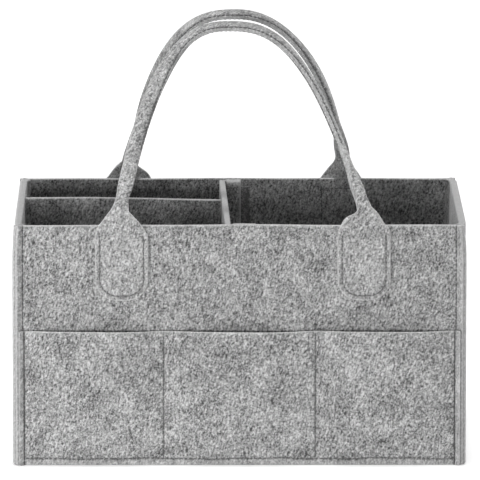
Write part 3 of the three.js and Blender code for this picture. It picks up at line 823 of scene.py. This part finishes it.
class CADDY_OT_pockets(bpy.types.Operator):
    """Makes the front and back pocket panels"""

    bl_idname = "caddy.pockets"
    bl_label = "Pockets"

    def execute(self, context):
        seams = Seams((-POCKET_SEAM, POCKET_SEAM), BASE_SEAM_HEIGHT, POCKET_TOP - THREAD_END, fold=1.0)
        for side in LONG_WALLS:
            name = f"{side}_pocket_panel"
            layer = (f"{name}_felt", POCKET_DEPTH, POCKET_FELT, POCKET_TOP, seams, pocket_bow)
            piece, flat = wall_layer(walls()[side], *layer)
            settle(piece, "pocket felt", "shell", "pocket_felt", name)
        return {"FINISHED"}


class Handle:
    """One handle, a strip of felt from tab to tab, in the frame of the wall that carries it. Each half of
    its arch follows (across / spread) ^ squareness + (along / rise) ^ fullness = 1, and they meet at `top`.
    `twists` are the turns of its left leg, its top and its right leg. The left tab has shoulders of its own,
    the right tab plain ones, and `legs` says how each leg is pushed out of the arch."""

    def __init__(self, side, rise, top, arch, twists, left_shoulders, legs):
        low = [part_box(f"{side}_{end}_tab")[0] for end in ("left", "right")]
        high = [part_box(f"{side}_{end}_tab")[1] for end in ("left", "right")]
        centres = [(a.x + b.x) / 2 for a, b in zip(low, high)]
        self.side = side
        self.wall = walls()[side]
        self.centre = sum(centres) / 2 * round(math.cos(self.wall.turn))
        self.spacing = centres[1] - centres[0]
        self.tab_half = (high[0].x - low[0].x) / 2
        self.tab_drop = RIM - low[0].z
        self.rise = rise
        self.top = top
        self.squareness, self.fullness = arch
        self.twists = twists
        self.left_shoulders = left_shoulders
        self.legs = legs

    def line(self):
        """Stations from the foot of the left tab to the foot of the right one: their length along the strip
        above the rim, their x, and how far the strip is twisted there."""
        angle = np.linspace(0, math.pi, ARCH_STEPS)
        first = angle < math.pi / 2
        squareness = np.where(first, *self.squareness)
        fullness = np.where(first, *self.fullness)
        foot = self.centre + np.where(first, -1, 1) * self.spacing / 2
        neck_share = (1 - (NECK_RISE / self.rise) ** fullness) ** (1 / squareness)
        along = self.rise * np.sin(angle) ** (2 / fullness)
        arched = self.top + (foot - self.top) / neck_share * np.abs(np.cos(angle)) ** (2 / squareness)
        bent = np.where(first, *(smooth(*foot_bend, along) for foot_bend in FOOT_BENDS))
        x = foot + (arched - foot) * bent
        for sign, half, (push, height, reach) in zip((-1, 1), (first, ~first), self.legs):
            x = x + sign * half * push * dip(along - height, reach) * smooth(0, PUSH_RISE, along)
        step = np.linalg.norm(np.diff(self.points(x, along), axis=0), axis=1)
        spacing = np.where(along[1:] < 2 * NECK_RISE, TAB_STEP, GRIP_STEP)
        count = np.concatenate([[0], np.cumsum(step / spacing)])
        stations = np.linspace(0, count[-1], round(count[-1]))
        round_foot = TAB_CORNER * (1 - np.cos(np.linspace(0, math.pi / 2, TAB_CORNER_STEPS)))
        upright = np.arange(TAB_CORNER + TAB_STEP, self.tab_drop, TAB_STEP)
        tab = np.concatenate([round_foot, upright]) - self.tab_drop
        ends = [np.full(tab.shape, self.centre + sign * self.spacing / 2) for sign in (-1, 1)]
        whole_along = np.concatenate([tab, np.interp(stations, count, along), tab[::-1]])
        whole_x = np.concatenate([ends[0], np.interp(stations, count, x), ends[1]])
        twist = np.interp(stations, count, self.twist(angle / math.pi, along))
        return whole_along, whole_x, np.concatenate([0 * tab, twist, 0 * tab])

    def twist(self, share, along):
        """How far the folded strip is turned about its own line: by an angle of its own on each leg and at
        the top, and not at all at the necks."""
        left, top, right = self.twists
        turn = left + (top - left) * smooth(*LEFT_TWIST_END, share)
        turn = turn + (right - top) * smooth(*RIGHT_TWIST_START, share)
        return turn * smooth(*TWIST_RISE, along)

    def points(self, x, along):
        """The strip's middle line, upright at the tab and then leaning in over the box."""
        turn = np.clip(along / LEAN_RADIUS, 0, LEAN)
        straight = along - turn * LEAN_RADIUS
        lean = LEAN_RADIUS * (1 - np.cos(turn)) + straight * np.sin(turn)
        height = LEAN_RADIUS * np.sin(turn) + straight * np.cos(turn)
        return np.stack([x, lean - TAB_DEPTH, RIM + height], axis=-1)

    def frame(self, along, x):
        """Middle line, direction across the strip and direction out of its face, at each station."""
        line = self.points(x, along)
        turn = np.clip(along / LEAN_RADIUS, 0, LEAN)
        out = np.stack([0 * turn, -np.cos(turn), np.sin(turn)], axis=-1)
        across = np.cross(np.gradient(line, axis=0), out)
        return line, across / np.linalg.norm(across, axis=1, keepdims=True), out

    def half_width(self, along, inner, left):
        """Half the strip's width towards the inside or the outside of the arch: a round-footed tab,
        shoulders that narrow, and the neck."""
        foot = np.clip(along + self.tab_drop, 0, TAB_CORNER)
        tab = self.tab_half - TAB_CORNER + np.sqrt(TAB_CORNER**2 - (TAB_CORNER - foot) ** 2)
        shapes = zip(*self.left_shoulders, PLAIN_SHOULDER)
        drop, rise, hollow = [np.where(left, np.where(inner, b, a), c) for a, b, c in shapes]
        share = np.clip((along + drop) / (rise + drop), 0, 1)
        return NECK_WIDTH / 2 + (tab - NECK_WIDTH / 2) * np.cos(np.pi / 2 * share) ** hollow

    def tab_edge(self, along, offset, half):
        """Distance from the tab's cut edge, where the strip is `half` wide to that side."""
        height = along + self.tab_drop
        side = half - np.abs(offset)
        corner_x = np.abs(offset) - (self.tab_half - TAB_CORNER)
        corner = TAB_CORNER - np.hypot(np.maximum(corner_x, 0), TAB_CORNER - height)
        return np.maximum(np.where(height < TAB_CORNER, corner, side), 0)

    def tab_seam(self, centre):
        """The outline of sewing on a tab, as x and z."""
        half = self.tab_half - TAB_SEAM_INSET
        radius = TAB_CORNER - TAB_SEAM_INSET
        foot = RIM - self.tab_drop + TAB_SEAM_INSET
        top = RIM - TAB_TOP_SEAM
        angles = np.linspace(np.pi, 2 * np.pi, TAB_SEAM_STEPS)
        bend_x = np.where(angles < 1.5 * np.pi, radius - half, half - radius) + radius * np.cos(angles)
        bend_z = foot + radius + radius * np.sin(angles)
        x = centre + np.concatenate([[-half], bend_x, [half, -half]])
        return x, np.concatenate([[top], bend_z, [top, top]])


def handles():
    """Both handles with the shapes of their arches."""
    sizes = bpy.context.scene.caddy_handle
    front_twists = (sizes.front_left_twist, sizes.front_top_twist, sizes.front_right_twist)
    back_twists = (sizes.back_left_twist, sizes.back_top_twist, sizes.back_right_twist)
    front = (sizes.front_rise, sizes.front_top, FRONT_ARCH, front_twists, FRONT_LEFT_SHOULDERS, FRONT_LEGS)
    back = (sizes.back_rise, sizes.back_top, BACK_ARCH, back_twists, BACK_LEFT_SHOULDERS, BACK_LEGS)
    return [Handle("front", *front), Handle("back", *back)]


def grip_ring(angle):
    """A point of the folded strip's outer face, across it and out of it; the angle is 0 at its middle."""
    sizes = bpy.context.scene.caddy_handle
    across = sizes.grip_width / 2 * np.sign(np.sin(angle)) * np.abs(np.sin(angle)) ** GRIP_ROUND
    return across, sizes.grip_thickness / 2 * np.cos(angle) ** GRIP_ROUND


def turned(across, out, twist):
    """A point of the strip's section after the strip is twisted."""
    return across * np.cos(twist) - out * np.sin(twist), across * np.sin(twist) + out * np.cos(twist)


class CADDY_OT_handles(bpy.types.Operator):
    """Makes both handles, each one strip of felt that is flat at its tabs and folded double at its grip"""

    bl_idname = "caddy.handles"
    bl_label = "Handles"

    def execute(self, context):
        for handle in handles():
            self.handle(context.scene, handle)
        return {"FINISHED"}

    def handle(self, scene, handle):
        """One handle, bending at the rim between the box and its grip."""
        felt = scene.caddy_felt
        sizes = scene.caddy_handle
        along, x, twist = handle.line()
        line, across, out = handle.frame(along, x)

        # The flat strip
        share = np.linspace(-1, 1, STRIP_COLUMNS)
        half = handle.half_width(along[:, None], share > 0, x[:, None] < handle.top)
        offset = half * share
        height = np.broadcast_to(along[:, None], offset.shape)
        edge = handle.tab_edge(height, offset, half)
        thick = rounded_half(WALL_FELT, edge)
        pressed = self.tab_pressed(handle, height, edge, offset)

        # The strip folded double, with its open edges sewn together
        ring_across, ring_out = grip_ring(share * GRIP_TURN)
        furrow = dip(ring_out, EDGE_BAND_WIDTH) * (share > 0)
        sewn = dip(ring_across - sizes.grip_width / 2 + GRIP_SEAM_INSET, felt.groove_width)
        sewn = sewn * smooth(GRIP_SEAM_RISE - GRIP_SEAM_START, GRIP_SEAM_RISE + GRIP_SEAM_START, height)
        waist = 1 - sizes.waist * dip(height - WAIST_RISE, WAIST_LENGTH) * (handle.side == "front")
        grip_across = waist * (ring_across - sizes.seam_depth * furrow)
        grip_out = ring_out - felt.groove_depth * sewn
        # Painted shade in the grip's furrow, and its seam darkened, partly as painted shade
        grip_seam_and_furrow_shade = np.maximum(GRIP_FURROW_SHADE * furrow, GRIP_SEAM_SHADE * sewn)

        fold = smooth(*FOLD_RISE, height)
        faces = []
        marks = []
        for sign, flat_pressed in ((1, pressed), (-1, 0 * pressed)):
            flat_out = thick - felt.groove_depth * flat_pressed
            section_across = (1 - fold) * offset + fold * grip_across
            section_out = sign * ((1 - fold) * flat_out + fold * grip_out)
            move_across, move_out = turned(section_across, section_out, twist[:, None])
            moved = across[:, None] * move_across[..., None] + out[:, None] * move_out[..., None]
            local = np.moveaxis(line[:, None] + moved, -1, 0)
            soft = 1 - smooth(RIM, RIM + 2 * NECK_RISE, local[2])
            faces.append(handle.wall.place(*local, soft))
            marks.append((1 - fold) * flat_pressed + fold * grip_seam_and_furrow_shade)
        # Pale fibre ends along the tabs' cut edges; along the grip's edges, fibre ends with a painted
        # highlight
        worn = (1 - fold) * dip(edge, EDGE_BAND_WIDTH) + fold * GRIP_EDGE_HIGHLIGHT * dip(ring_out, GRIP_HIGHLIGHT_WIDTH)
        attributes = {"cut_edge": np.stack([worn, worn]), "pressed": np.stack(marks)}
        side = handle.side
        piece = closed_sheet(f"{side}_handle_felt", *faces, attributes)
        piece.data.materials.append(finish_of("handle felt painted paler"))
        start = Vector(handle.wall.place(np.zeros(1), -TAB_DEPTH, RIM)[0])
        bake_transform(piece)
        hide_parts(f"{side}_left_tab", f"{side}_right_tab", f"{side}_grip")

    def tab_pressed(self, handle, along, edge, offset):
        """How far the sewing presses into a tab and darkens it, partly as painted shade, from 0 to 1."""
        width = bpy.context.scene.caddy_felt.groove_width
        outline = dip(edge - TAB_SEAM_INSET, width) * (along < -TAB_TOP_SEAM)
        top = dip(along + TAB_TOP_SEAM, width) * (np.abs(offset) < handle.tab_half - TAB_SEAM_INSET)
        return np.maximum(TAB_PRESS * outline, TAB_TOP_PRESS * top)


def moved_aside(points, aside):
    """Points moved along x, each by its own length."""
    return points + aside[..., None] * np.array([1, 0, 0])


def slanted(points, near=1.0):
    """Points of the main divider, which stands a little askew, or of a piece as far as it is near that."""
    slant = bpy.context.scene.caddy_felt.divider_slant
    return moved_aside(points, near * slant * -points[..., 1] / INNER_Y)


def leaning(points):
    """Points near the left wall, moved out with its rim as far as they are close to it."""
    near = 1 - smooth(0, GIVE_REACH, points[..., 0] + INNER_X)
    return moved_aside(points, -near * walls()["left"].wave(-points[..., 1], points[..., 2]))


def spanning(points):
    """Points of the lengthwise divider, which follows the left wall and the main divider at its ends."""
    return slanted(leaning(points), smooth(-GIVE_REACH, 0, points[..., 0] - MAIN_LOW.x))


def bowed(x, z):
    """How far the lengthwise divider leans back, which its tapes hold upright at both ends."""
    share = (x - LENGTH_LOW.x) / (LENGTH_HIGH.x - LENGTH_LOW.x)
    loose = smooth(*BOW_START, share) * (1 - smooth(*BOW_END, share))
    height = np.clip((z - LENGTH_HIGH.z) / BOW_HEIGHT + 1, 0, 1)
    return bpy.context.scene.caddy_felt.divider_bow * loose * height**1.5


class Divider:
    """A divider in its own frame: x along it, and the flaps at its ends turned towards +y. Its top slopes
    down by `sag`, and its first and last flap by their `drops`."""

    def __init__(self, name, flaps, place, sag, drops):
        self.name = name
        self.flaps = flaps
        self.place = place
        self.sag = sag
        self.drops = drops
        self.low, self.high = (corner.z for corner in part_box(f"{name}_plain_leaf"))

    def ends(self, leaf):
        """Where a leaf of the divider starts and ends along it."""
        low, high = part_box(f"{self.name}_{leaf}")
        return (-high.y, -low.y) if self.name == "main_divider" else (low.x, high.x)

    def sagged(self, x, z):
        """Height of a point after the top has sagged."""
        return z - self.sag * smooth(*self.ends("plain_leaf"), x) * smooth(self.low, self.high, z)


def dividers():
    """The main divider runs from the back to the front, and the lengthwise one across the left half."""
    felt = bpy.context.scene.caddy_felt
    main_x = MAIN_HIGH.x + LAYER_GAP / 2
    length_y = LENGTH_HIGH.y + LAYER_GAP / 2

    def place_main(x, y, z):
        return slanted(np.stack(np.broadcast_arrays(main_x + y, -x, z), axis=-1))

    def place_length(x, y, z):
        return spanning(np.stack(np.broadcast_arrays(x, length_y + y + bowed(x, z), z), axis=-1))

    main_drops = (0.0, -felt.flap_lift)
    length_drops = (felt.flap_drop, felt.flap_drop)
    return [
        Divider("main_divider", MAIN_FLAPS, place_main, MAIN_SAG * felt.divider_sag, main_drops),
        Divider("length_divider", LENGTH_FLAPS, place_length, felt.divider_sag, length_drops),
    ]


class CADDY_OT_dividers(bpy.types.Operator):
    """Makes both dividers, each of two felt leaves"""

    bl_idname = "caddy.dividers"
    bl_label = "Dividers"

    def execute(self, context):
        for divider in dividers():
            rows = grid_lines(divider.low, divider.high, LEAF_STEP)
            depth = LAYER_GAP / 2 + DIVIDER_FELT / 2
            self.plain_leaf(divider, rows, depth)
            self.flap_leaf(context.scene.caddy_felt, divider, rows, depth)
        return {"FINISHED"}

    def plain_leaf(self, divider, rows, depth):
        """The leaf without flaps."""
        start, end = divider.ends("plain_leaf")
        x, z = np.meshgrid(grid_lines(start, end, LEAF_STEP), rows)
        middle = divider.place(x, -depth, divider.sagged(x, z))
        name = f"{divider.name}_plain_leaf"
        piece = felt_sheet(f"{name}_felt", middle, DIVIDER_FELT, edge_distance(x, z), snug=(0.0, 1.0))
        settle(piece, "felt", divider.name, "divider_felt", name)

    def flap_leaf(self, felt, divider, rows, depth):
        """The leaf whose ends are turned into flaps, which curl and are drawn pale at their tops and free
        edges: a painted highlight, with their pale fibre ends.
        """
        start, end = divider.ends("flap_leaf")
        half = (end - start) / 2 - DIVIDER_FELT / 2
        centre = (end + start) / 2
        first = -half - divider.flaps[0] - DIVIDER_FELT / 2
        last = half + divider.flaps[1] + DIVIDER_FELT / 2
        along, z = np.meshgrid(grid_lines(first, last, LEAF_STEP, (-half, half)), rows)
        before, after = bend(along, half, felt.fold_round)
        on_flap = smooth(0, FLAP_TURN, after)
        curl = felt.flap_curl * smooth(divider.high - FLAP_TOP, divider.high, z) * on_flap
        x = centre + np.sign(along) * (half + before + curl)
        drop = np.where(along > 0, divider.drops[1], divider.drops[0])
        height = divider.sagged(x, z) - drop * on_flap * smooth(divider.low, divider.high, z)
        middle = divider.place(x, depth + after, height)
        # Painted highlight on a flap's top and free edge, with its pale fibre ends
        lit_top = smooth(*(divider.high - below for below in FLAP_HIGHLIGHT_TOP), z)
        lit_end = dip(np.minimum(along - first, last - along), FLAP_HIGHLIGHT_END)
        name = f"{divider.name}_flap_leaf"
        piece = felt_sheet(
            f"{name}_felt", middle, DIVIDER_FELT, edge_distance(along, z),
            snug=(smooth(0, SNUG_TURN, half - np.abs(along)), 0.0),
            pale=on_flap * np.maximum(lit_top, lit_end),
        )
        settle(piece, "felt", divider.name, "divider_felt", name)


TAPES = {
    "shell": ("front_loop_tape", "back_loop_tape", "left_loop_tape"),
    "main_divider": (
        "main_divider_loop_tape", "main_divider_front_hook_tape", "main_divider_back_hook_tape",
    ),
    "length_divider": ("length_divider_left_hook_tape", "length_divider_right_hook_tape"),
}


class CADDY_OT_tapes(bpy.types.Operator):
    """Makes the strips of hook and loop tape"""

    bl_idname = "caddy.tapes"
    bl_label = "Tapes"

    def execute(self, context):
        for body, nodes in TAPES.items():
            for node in nodes:
                self.tape(node, body)
        return {"FINISHED"}

    def tape(self, node, body):
        """A flat strip with a bristling face, in the box of its node, which follows what it is sewn to."""
        low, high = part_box(node)
        size = high - low
        thin = 0 if size.x < size.y else 1
        wide = 1 - thin
        across, z = np.meshgrid(*(
            grid_lines(low[axis], high[axis], TAPE_STEP, fine=TAPE_EDGE_STEP, reach=TAPE_EDGE_REACH)
            for axis in (wide, 2)
        ))
        middle = np.zeros((*z.shape, 3))
        middle[..., thin] = (low[thin] + high[thin]) / 2
        middle[..., wide] = across
        middle[..., 2] = z
        follow = {"shell": leaning, "main_divider": slanted, "length_divider": spanning}[body]
        middle = follow(middle)
        normal = np.zeros(3)
        normal[thin] = 1 if thin == 0 else -1
        bristle = BRISTLE_HEIGHT * lumps(middle, BRISTLE_SIZE)
        half = rounded_half(size[thin], edge_distance(across, z)) + bristle
        outer = middle + normal * half[..., None]
        inner = middle - normal * half[..., None]
        piece = closed_sheet(f"{node}_strip", outer, inner, {})
        kind = "hook" if "hook" in node else "loop"
        settle(piece, f"{kind}s", body, f"{kind}_tape", node)


def stitch_tree():
    """Lays one stitch after another along every line of a mesh's edges."""
    tree = bpy.data.node_groups.new("Stitches along seams", "GeometryNodeTree")
    sockets = {}
    for name, kind in (
        ("Seams", "NodeSocketGeometry"),
        ("Pitch", "NodeSocketFloat"),
        ("Stitch length", "NodeSocketFloat"),
        ("Thread", "NodeSocketFloat"),
        ("Finish", "NodeSocketMaterial"),
    ):
        sockets[name] = tree.interface.new_socket(name, in_out="INPUT", socket_type=kind)
    tree.interface.new_socket("Stitches", in_out="OUTPUT", socket_type="NodeSocketGeometry")
    given = add_node(tree, "NodeGroupInput").outputs
    curve = add_node(tree, "GeometryNodeMeshToCurve", links={"Mesh": given["Seams"]})
    spaced = add_node(
        tree, "GeometryNodeResampleCurve", links={"Curve": curve.outputs[0], "Length": given["Pitch"]},
        mode="LENGTH",
    )
    along = add_node(
        tree, "FunctionNodeAlignRotationToVector",
        links={"Vector": add_node(tree, "GeometryNodeInputTangent").outputs[0]}, axis="X",
    )
    bead = add_node(tree, "GeometryNodeMeshUVSphere", {"Segments": 8, "Rings": 5, "Radius": 0.5})
    shape = add_node(
        tree, "ShaderNodeCombineXYZ",
        links={"X": given["Stitch length"], "Y": given["Thread"], "Z": given["Thread"]},
    )
    stitch = add_node(
        tree, "GeometryNodeTransform", links={"Geometry": bead.outputs["Mesh"], "Scale": shape.outputs[0]}
    )
    laid = add_node(
        tree, "GeometryNodeInstanceOnPoints",
        links={"Points": spaced.outputs[0], "Instance": stitch.outputs[0], "Rotation": along.outputs[0]},
    )
    whole = add_node(tree, "GeometryNodeRealizeInstances", links={"Geometry": laid.outputs[0]})
    rounded = add_node(tree, "GeometryNodeSetShadeSmooth", links={"Geometry": whole.outputs[0]})
    finished = add_node(
        tree, "GeometryNodeSetMaterial", links={"Geometry": rounded.outputs[0], "Material": given["Finish"]}
    )
    add_node(tree, "NodeGroupOutput", links={"Stitches": finished.outputs[0]})
    return tree, {name: socket.identifier for name, socket in sockets.items()}


class CADDY_OT_stitches(bpy.types.Operator):
    """Sews every seam with its stitches, one mesh for each body"""

    bl_idname = "caddy.stitches"
    bl_label = "Stitches"

    def execute(self, context):
        tree, inputs = stitch_tree()
        threads = [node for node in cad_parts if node.endswith("_thread")]
        grips = {"front_grip_thread", "back_grip_thread"}
        self.sew(tree, inputs, "shell_stitches", "shell", self.shell_lines(), sorted(set(threads) - grips))
        for handle in handles():
            name = f"{handle.side}_grip"
            lines = self.grip_lines(handle)
            self.sew(tree, inputs, f"{name}_stitches", f"{handle.side}_handle", lines, [f"{name}_thread"])
        return {"FINISHED"}

    def sew(self, tree, inputs, name, body, lines, nodes):
        """Turns seam lines into one mesh of stitches that stands for the thread nodes."""
        sizes = bpy.context.scene.caddy_stitch
        starts = np.cumsum([0] + [len(line) for line in lines])
        edges = [
            (i, i + 1) for first, after in zip(starts[:-1], starts[1:]) for i in range(first, after - 1)
        ]
        seams = bpy.data.meshes.new(f"{name}_seams")
        seams.from_pydata(np.concatenate(lines).tolist(), edges, [])
        source = linked(f"{name}_seams", seams)
        modifier = source.modifiers.new("Stitches", "NODES")
        modifier.node_group = tree
        modifier[inputs["Pitch"]] = sizes.pitch
        modifier[inputs["Stitch length"]] = sizes.length
        modifier[inputs["Thread"]] = sizes.thread
        modifier[inputs["Finish"]] = finish_of("thread")
        depsgraph = bpy.context.evaluated_depsgraph_get()
        mesh = bpy.data.meshes.new_from_object(source.evaluated_get(depsgraph), depsgraph=depsgraph)
        mesh.name = name
        bpy.data.objects.remove(source)
        piece = linked(name, mesh)
        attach(piece, body)
        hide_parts(*nodes)

    def sunk(self, face):
        """Depth of a thread that lies in the groove of a face."""
        scene = bpy.context.scene
        return face - scene.caddy_felt.groove_depth + THREAD_SHOWS * scene.caddy_stitch.thread

    def shell_lines(self):
        """Every seam of the box, outside and inside."""
        lines = []
        for side, wall in walls().items():
            faces = [(WALL_FELT, 0, RIM)]
            if side in LONG_WALLS:
                faces = [(POCKET_FACE, 0, POCKET_TOP), (WALL_FELT, POCKET_TOP, RIM)]
            for face, low, high in faces:
                z = np.linspace(low + THREAD_END, high - THREAD_END, SEAM_STEPS)
                fold = fold_at(wall.half, face)
                for sign in (-1, 1):
                    lines.append(wall.place(sign * fold + 0 * z, -face - THREAD_PROUD, z))
            face = faces[0][0]
            x = np.linspace(-1, 1, BASE_SEAM_STEPS) * (fold_at(wall.half, face) - THREAD_END)
            lines.append(wall.place(x, -self.sunk(face), base_seam(x)))
            lines.append(wall.place(x, WALL_FELT + LAYER_GAP + THREAD_PROUD, base_seam(x)))
            if side in LONG_WALLS:
                lines.extend(self.pocket_lines(wall))
                lines.extend(self.tape_lines(wall))
        for handle in handles():
            for sign in (-1, 1):
                x, z = handle.tab_seam(handle.centre + sign * handle.spacing / 2)
                lines.append(handle.wall.place(x, -self.sunk(TAB_FACE), z))
                lines.append(handle.wall.place(x, THREAD_PROUD, z))
        return lines

    def pocket_lines(self, wall):
        """The upright seams between the pockets, on both faces of the wall."""
        z = np.linspace(BASE_SEAM_HEIGHT + THREAD_END, POCKET_TOP - THREAD_END, SEAM_STEPS)
        lines = []
        for sign in (-1, 1):
            x = sign * POCKET_SEAM + 0 * z
            lines.append(wall.place(x, -self.sunk(POCKET_FACE), z))
            lines.append(wall.place(x, THREAD_PROUD, z))
        return lines

    def tape_lines(self, wall):
        """The seams that hold the loop tape, where they show above the pockets."""
        z = np.linspace(POCKET_TOP + THREAD_END, RIM - THREAD_END, SEAM_STEPS)
        return [wall.place(x + 0 * z, -self.sunk(WALL_FELT), z) for x in tape_seams(wall)]

    def grip_lines(self, handle):
        """The seam beside the open edges of a grip, on both broad faces."""
        sizes = bpy.context.scene.caddy_handle
        along, x, twist = handle.line()
        line, across, out = handle.frame(along, x)
        seam = sizes.grip_width / 2 - GRIP_SEAM_INSET
        angle = math.asin((2 * seam / sizes.grip_width) ** (1 / GRIP_ROUND))
        face = self.sunk(float(grip_ring(angle)[1]))
        lines = []
        for sign in (1, -1):
            move_across, move_out = turned(seam, sign * face, twist)
            path = line + across * move_across[:, None] + out * move_out[:, None]
            path = path[along > GRIP_SEAM_RISE]
            lines.append(handle.wall.place(path[:, 0], path[:, 1], path[:, 2], 0.0))
        return lines


def seen_directly(tree):
    """1 for what the camera sees, also in a mirror or through glass, and 0 for light on the caddy."""
    path = add_node(tree, "ShaderNodeLightPath").outputs
    seen = path["Is Camera Ray"]
    for ray in ("Is Glossy Ray", "Is Transmission Ray"):
        either = add_node(tree, "ShaderNodeMath", links={0: seen, 1: path[ray]}, operation="MAXIMUM")
        seen = either.outputs[0]
    return seen


class CADDY_OT_stage(bpy.types.Operator):
    """Makes the floor, the lights, the background and the camera"""

    bl_idname = "caddy.stage"
    bl_label = "Stage"

    def execute(self, context):
        scene = context.scene
        scene.view_settings.view_transform = "Standard"
        self.floor(scene)
        self.world(scene)
        for name, (place, size, power) in LAMPS.items():
            self.lamp(name, place, size, power)
        self.top_light()
        self.camera(scene)
        return {"FINISHED"}

    def floor(self, scene):
        """A wide pale floor that looks white to the camera and keeps the shadow."""
        mesh = bpy.data.meshes.new("floor")
        corners = [(x * FLOOR_HALF, y * FLOOR_HALF, 0) for x, y in ((-1, -1), (1, -1), (1, 1), (-1, 1))]
        mesh.from_pydata(corners, [], [(0, 1, 2, 3)])
        material, tree = new_material("pale floor")
        glow = add_node(
            tree, "ShaderNodeMath", {1: FLOOR_GLOW}, {0: seen_directly(tree)}, operation="MULTIPLY"
        )
        shader = add_node(
            tree, "ShaderNodeBsdfPrincipled",
            {"Base Color": srgb(scene.caddy_colours.floor), "Roughness": 0.9, "Specular IOR Level": 0.0,
             "Emission Color": (1, 1, 1, 1)},
            {"Emission Strength": glow.outputs[0]},
        )
        add_node(tree, "ShaderNodeOutputMaterial", links={"Surface": shader.outputs["BSDF"]})
        mesh.materials.append(material)
        linked("floor", mesh)

    def world(self, scene):
        """Dim soft light all round, with a white background."""
        world = bpy.data.worlds.new("studio")
        world.use_nodes = True
        tree = world.node_tree
        tree.nodes.clear()
        strength = add_node(
            tree, "ShaderNodeMapRange", {"To Min": SOFT_LIGHT, "To Max": 1.0}, {"Value": seen_directly(tree)}
        )
        light = add_node(
            tree, "ShaderNodeBackground", {"Color": (1, 1, 1, 1)}, {"Strength": strength.outputs[0]}
        )
        add_node(tree, "ShaderNodeOutputWorld", links={"Surface": light.outputs[0]})
        scene.world = world

    def lamp(self, name, place, size, power):
        """A soft square lamp that faces the caddy."""
        data = bpy.data.lights.new(name, "AREA")
        data.size = size
        data.energy = power
        lamp = linked(name, data)
        lamp.location = place
        lamp.rotation_euler = (CAMERA_TARGET - lamp.location).to_track_quat("-Z", "Y").to_euler()

    def top_light(self):
        """Light from straight above, which the upright walls hardly catch."""
        data = bpy.data.lights.new("top", "SUN")
        data.energy = TOP_LIGHT
        data.angle = TOP_LIGHT_ANGLE
        linked("top", data)

    def camera(self, scene):
        """The camera of the photograph."""
        data = bpy.data.cameras.new("camera")
        data.lens = CAMERA_LENS
        data.sensor_width = CAMERA_SENSOR
        level = math.cos(CAMERA_ELEVATION)
        back = Vector((
            math.sin(CAMERA_AZIMUTH) * level, -math.cos(CAMERA_AZIMUTH) * level, math.sin(CAMERA_ELEVATION)
        ))
        camera = linked("camera", data)
        camera.location = CAMERA_TARGET + back * CAMERA_DISTANCE
        camera.rotation_euler = (-back).to_track_quat("-Z", "Y").to_euler()
        scene.camera = camera


OPERATORS = (
    CADDY_OT_walls,
    CADDY_OT_base,
    CADDY_OT_pockets,
    CADDY_OT_handles,
    CADDY_OT_dividers,
    CADDY_OT_tapes,
    CADDY_OT_stitches,
    CADDY_OT_stage,
)


class CADDY_PT_panel(bpy.types.Panel):
    """Lists the pieces and the sizes and colours that they use"""

    bl_idname = "CADDY_PT_panel"
    bl_label = "Felt caddy"
    bl_space_type = "VIEW_3D"
    bl_region_type = "UI"
    bl_category = "Caddy"

    def draw(self, context):
        for operator in OPERATORS:
            self.layout.operator(operator.bl_idname)
        for name in PROPERTY_GROUPS:
            group = getattr(context.scene, name)
            box = self.layout.box()
            for key in group.__annotations__:
                box.prop(group, key)


CLASSES = (*PROPERTY_GROUPS.values(), *OPERATORS, CADDY_PT_panel)


def register():
    """Registers the classes and hangs the sizes and colours on the scene."""
    for item in CLASSES:
        bpy.utils.register_class(item)
    for name, group in PROPERTY_GROUPS.items():
        setattr(bpy.types.Scene, name, bpy.props.PointerProperty(type=group))


def unregister():
    """Undoes what register did."""
    for name in PROPERTY_GROUPS:
        delattr(bpy.types.Scene, name)
    for item in reversed(CLASSES):
        bpy.utils.unregister_class(item)


def main():
    """Builds the caddy and its stage."""
    register()
    for operator in OPERATORS:
        group, name = operator.bl_idname.split(".")
        getattr(getattr(bpy.ops, group), name)()


if __name__ == "__main__":
    main()
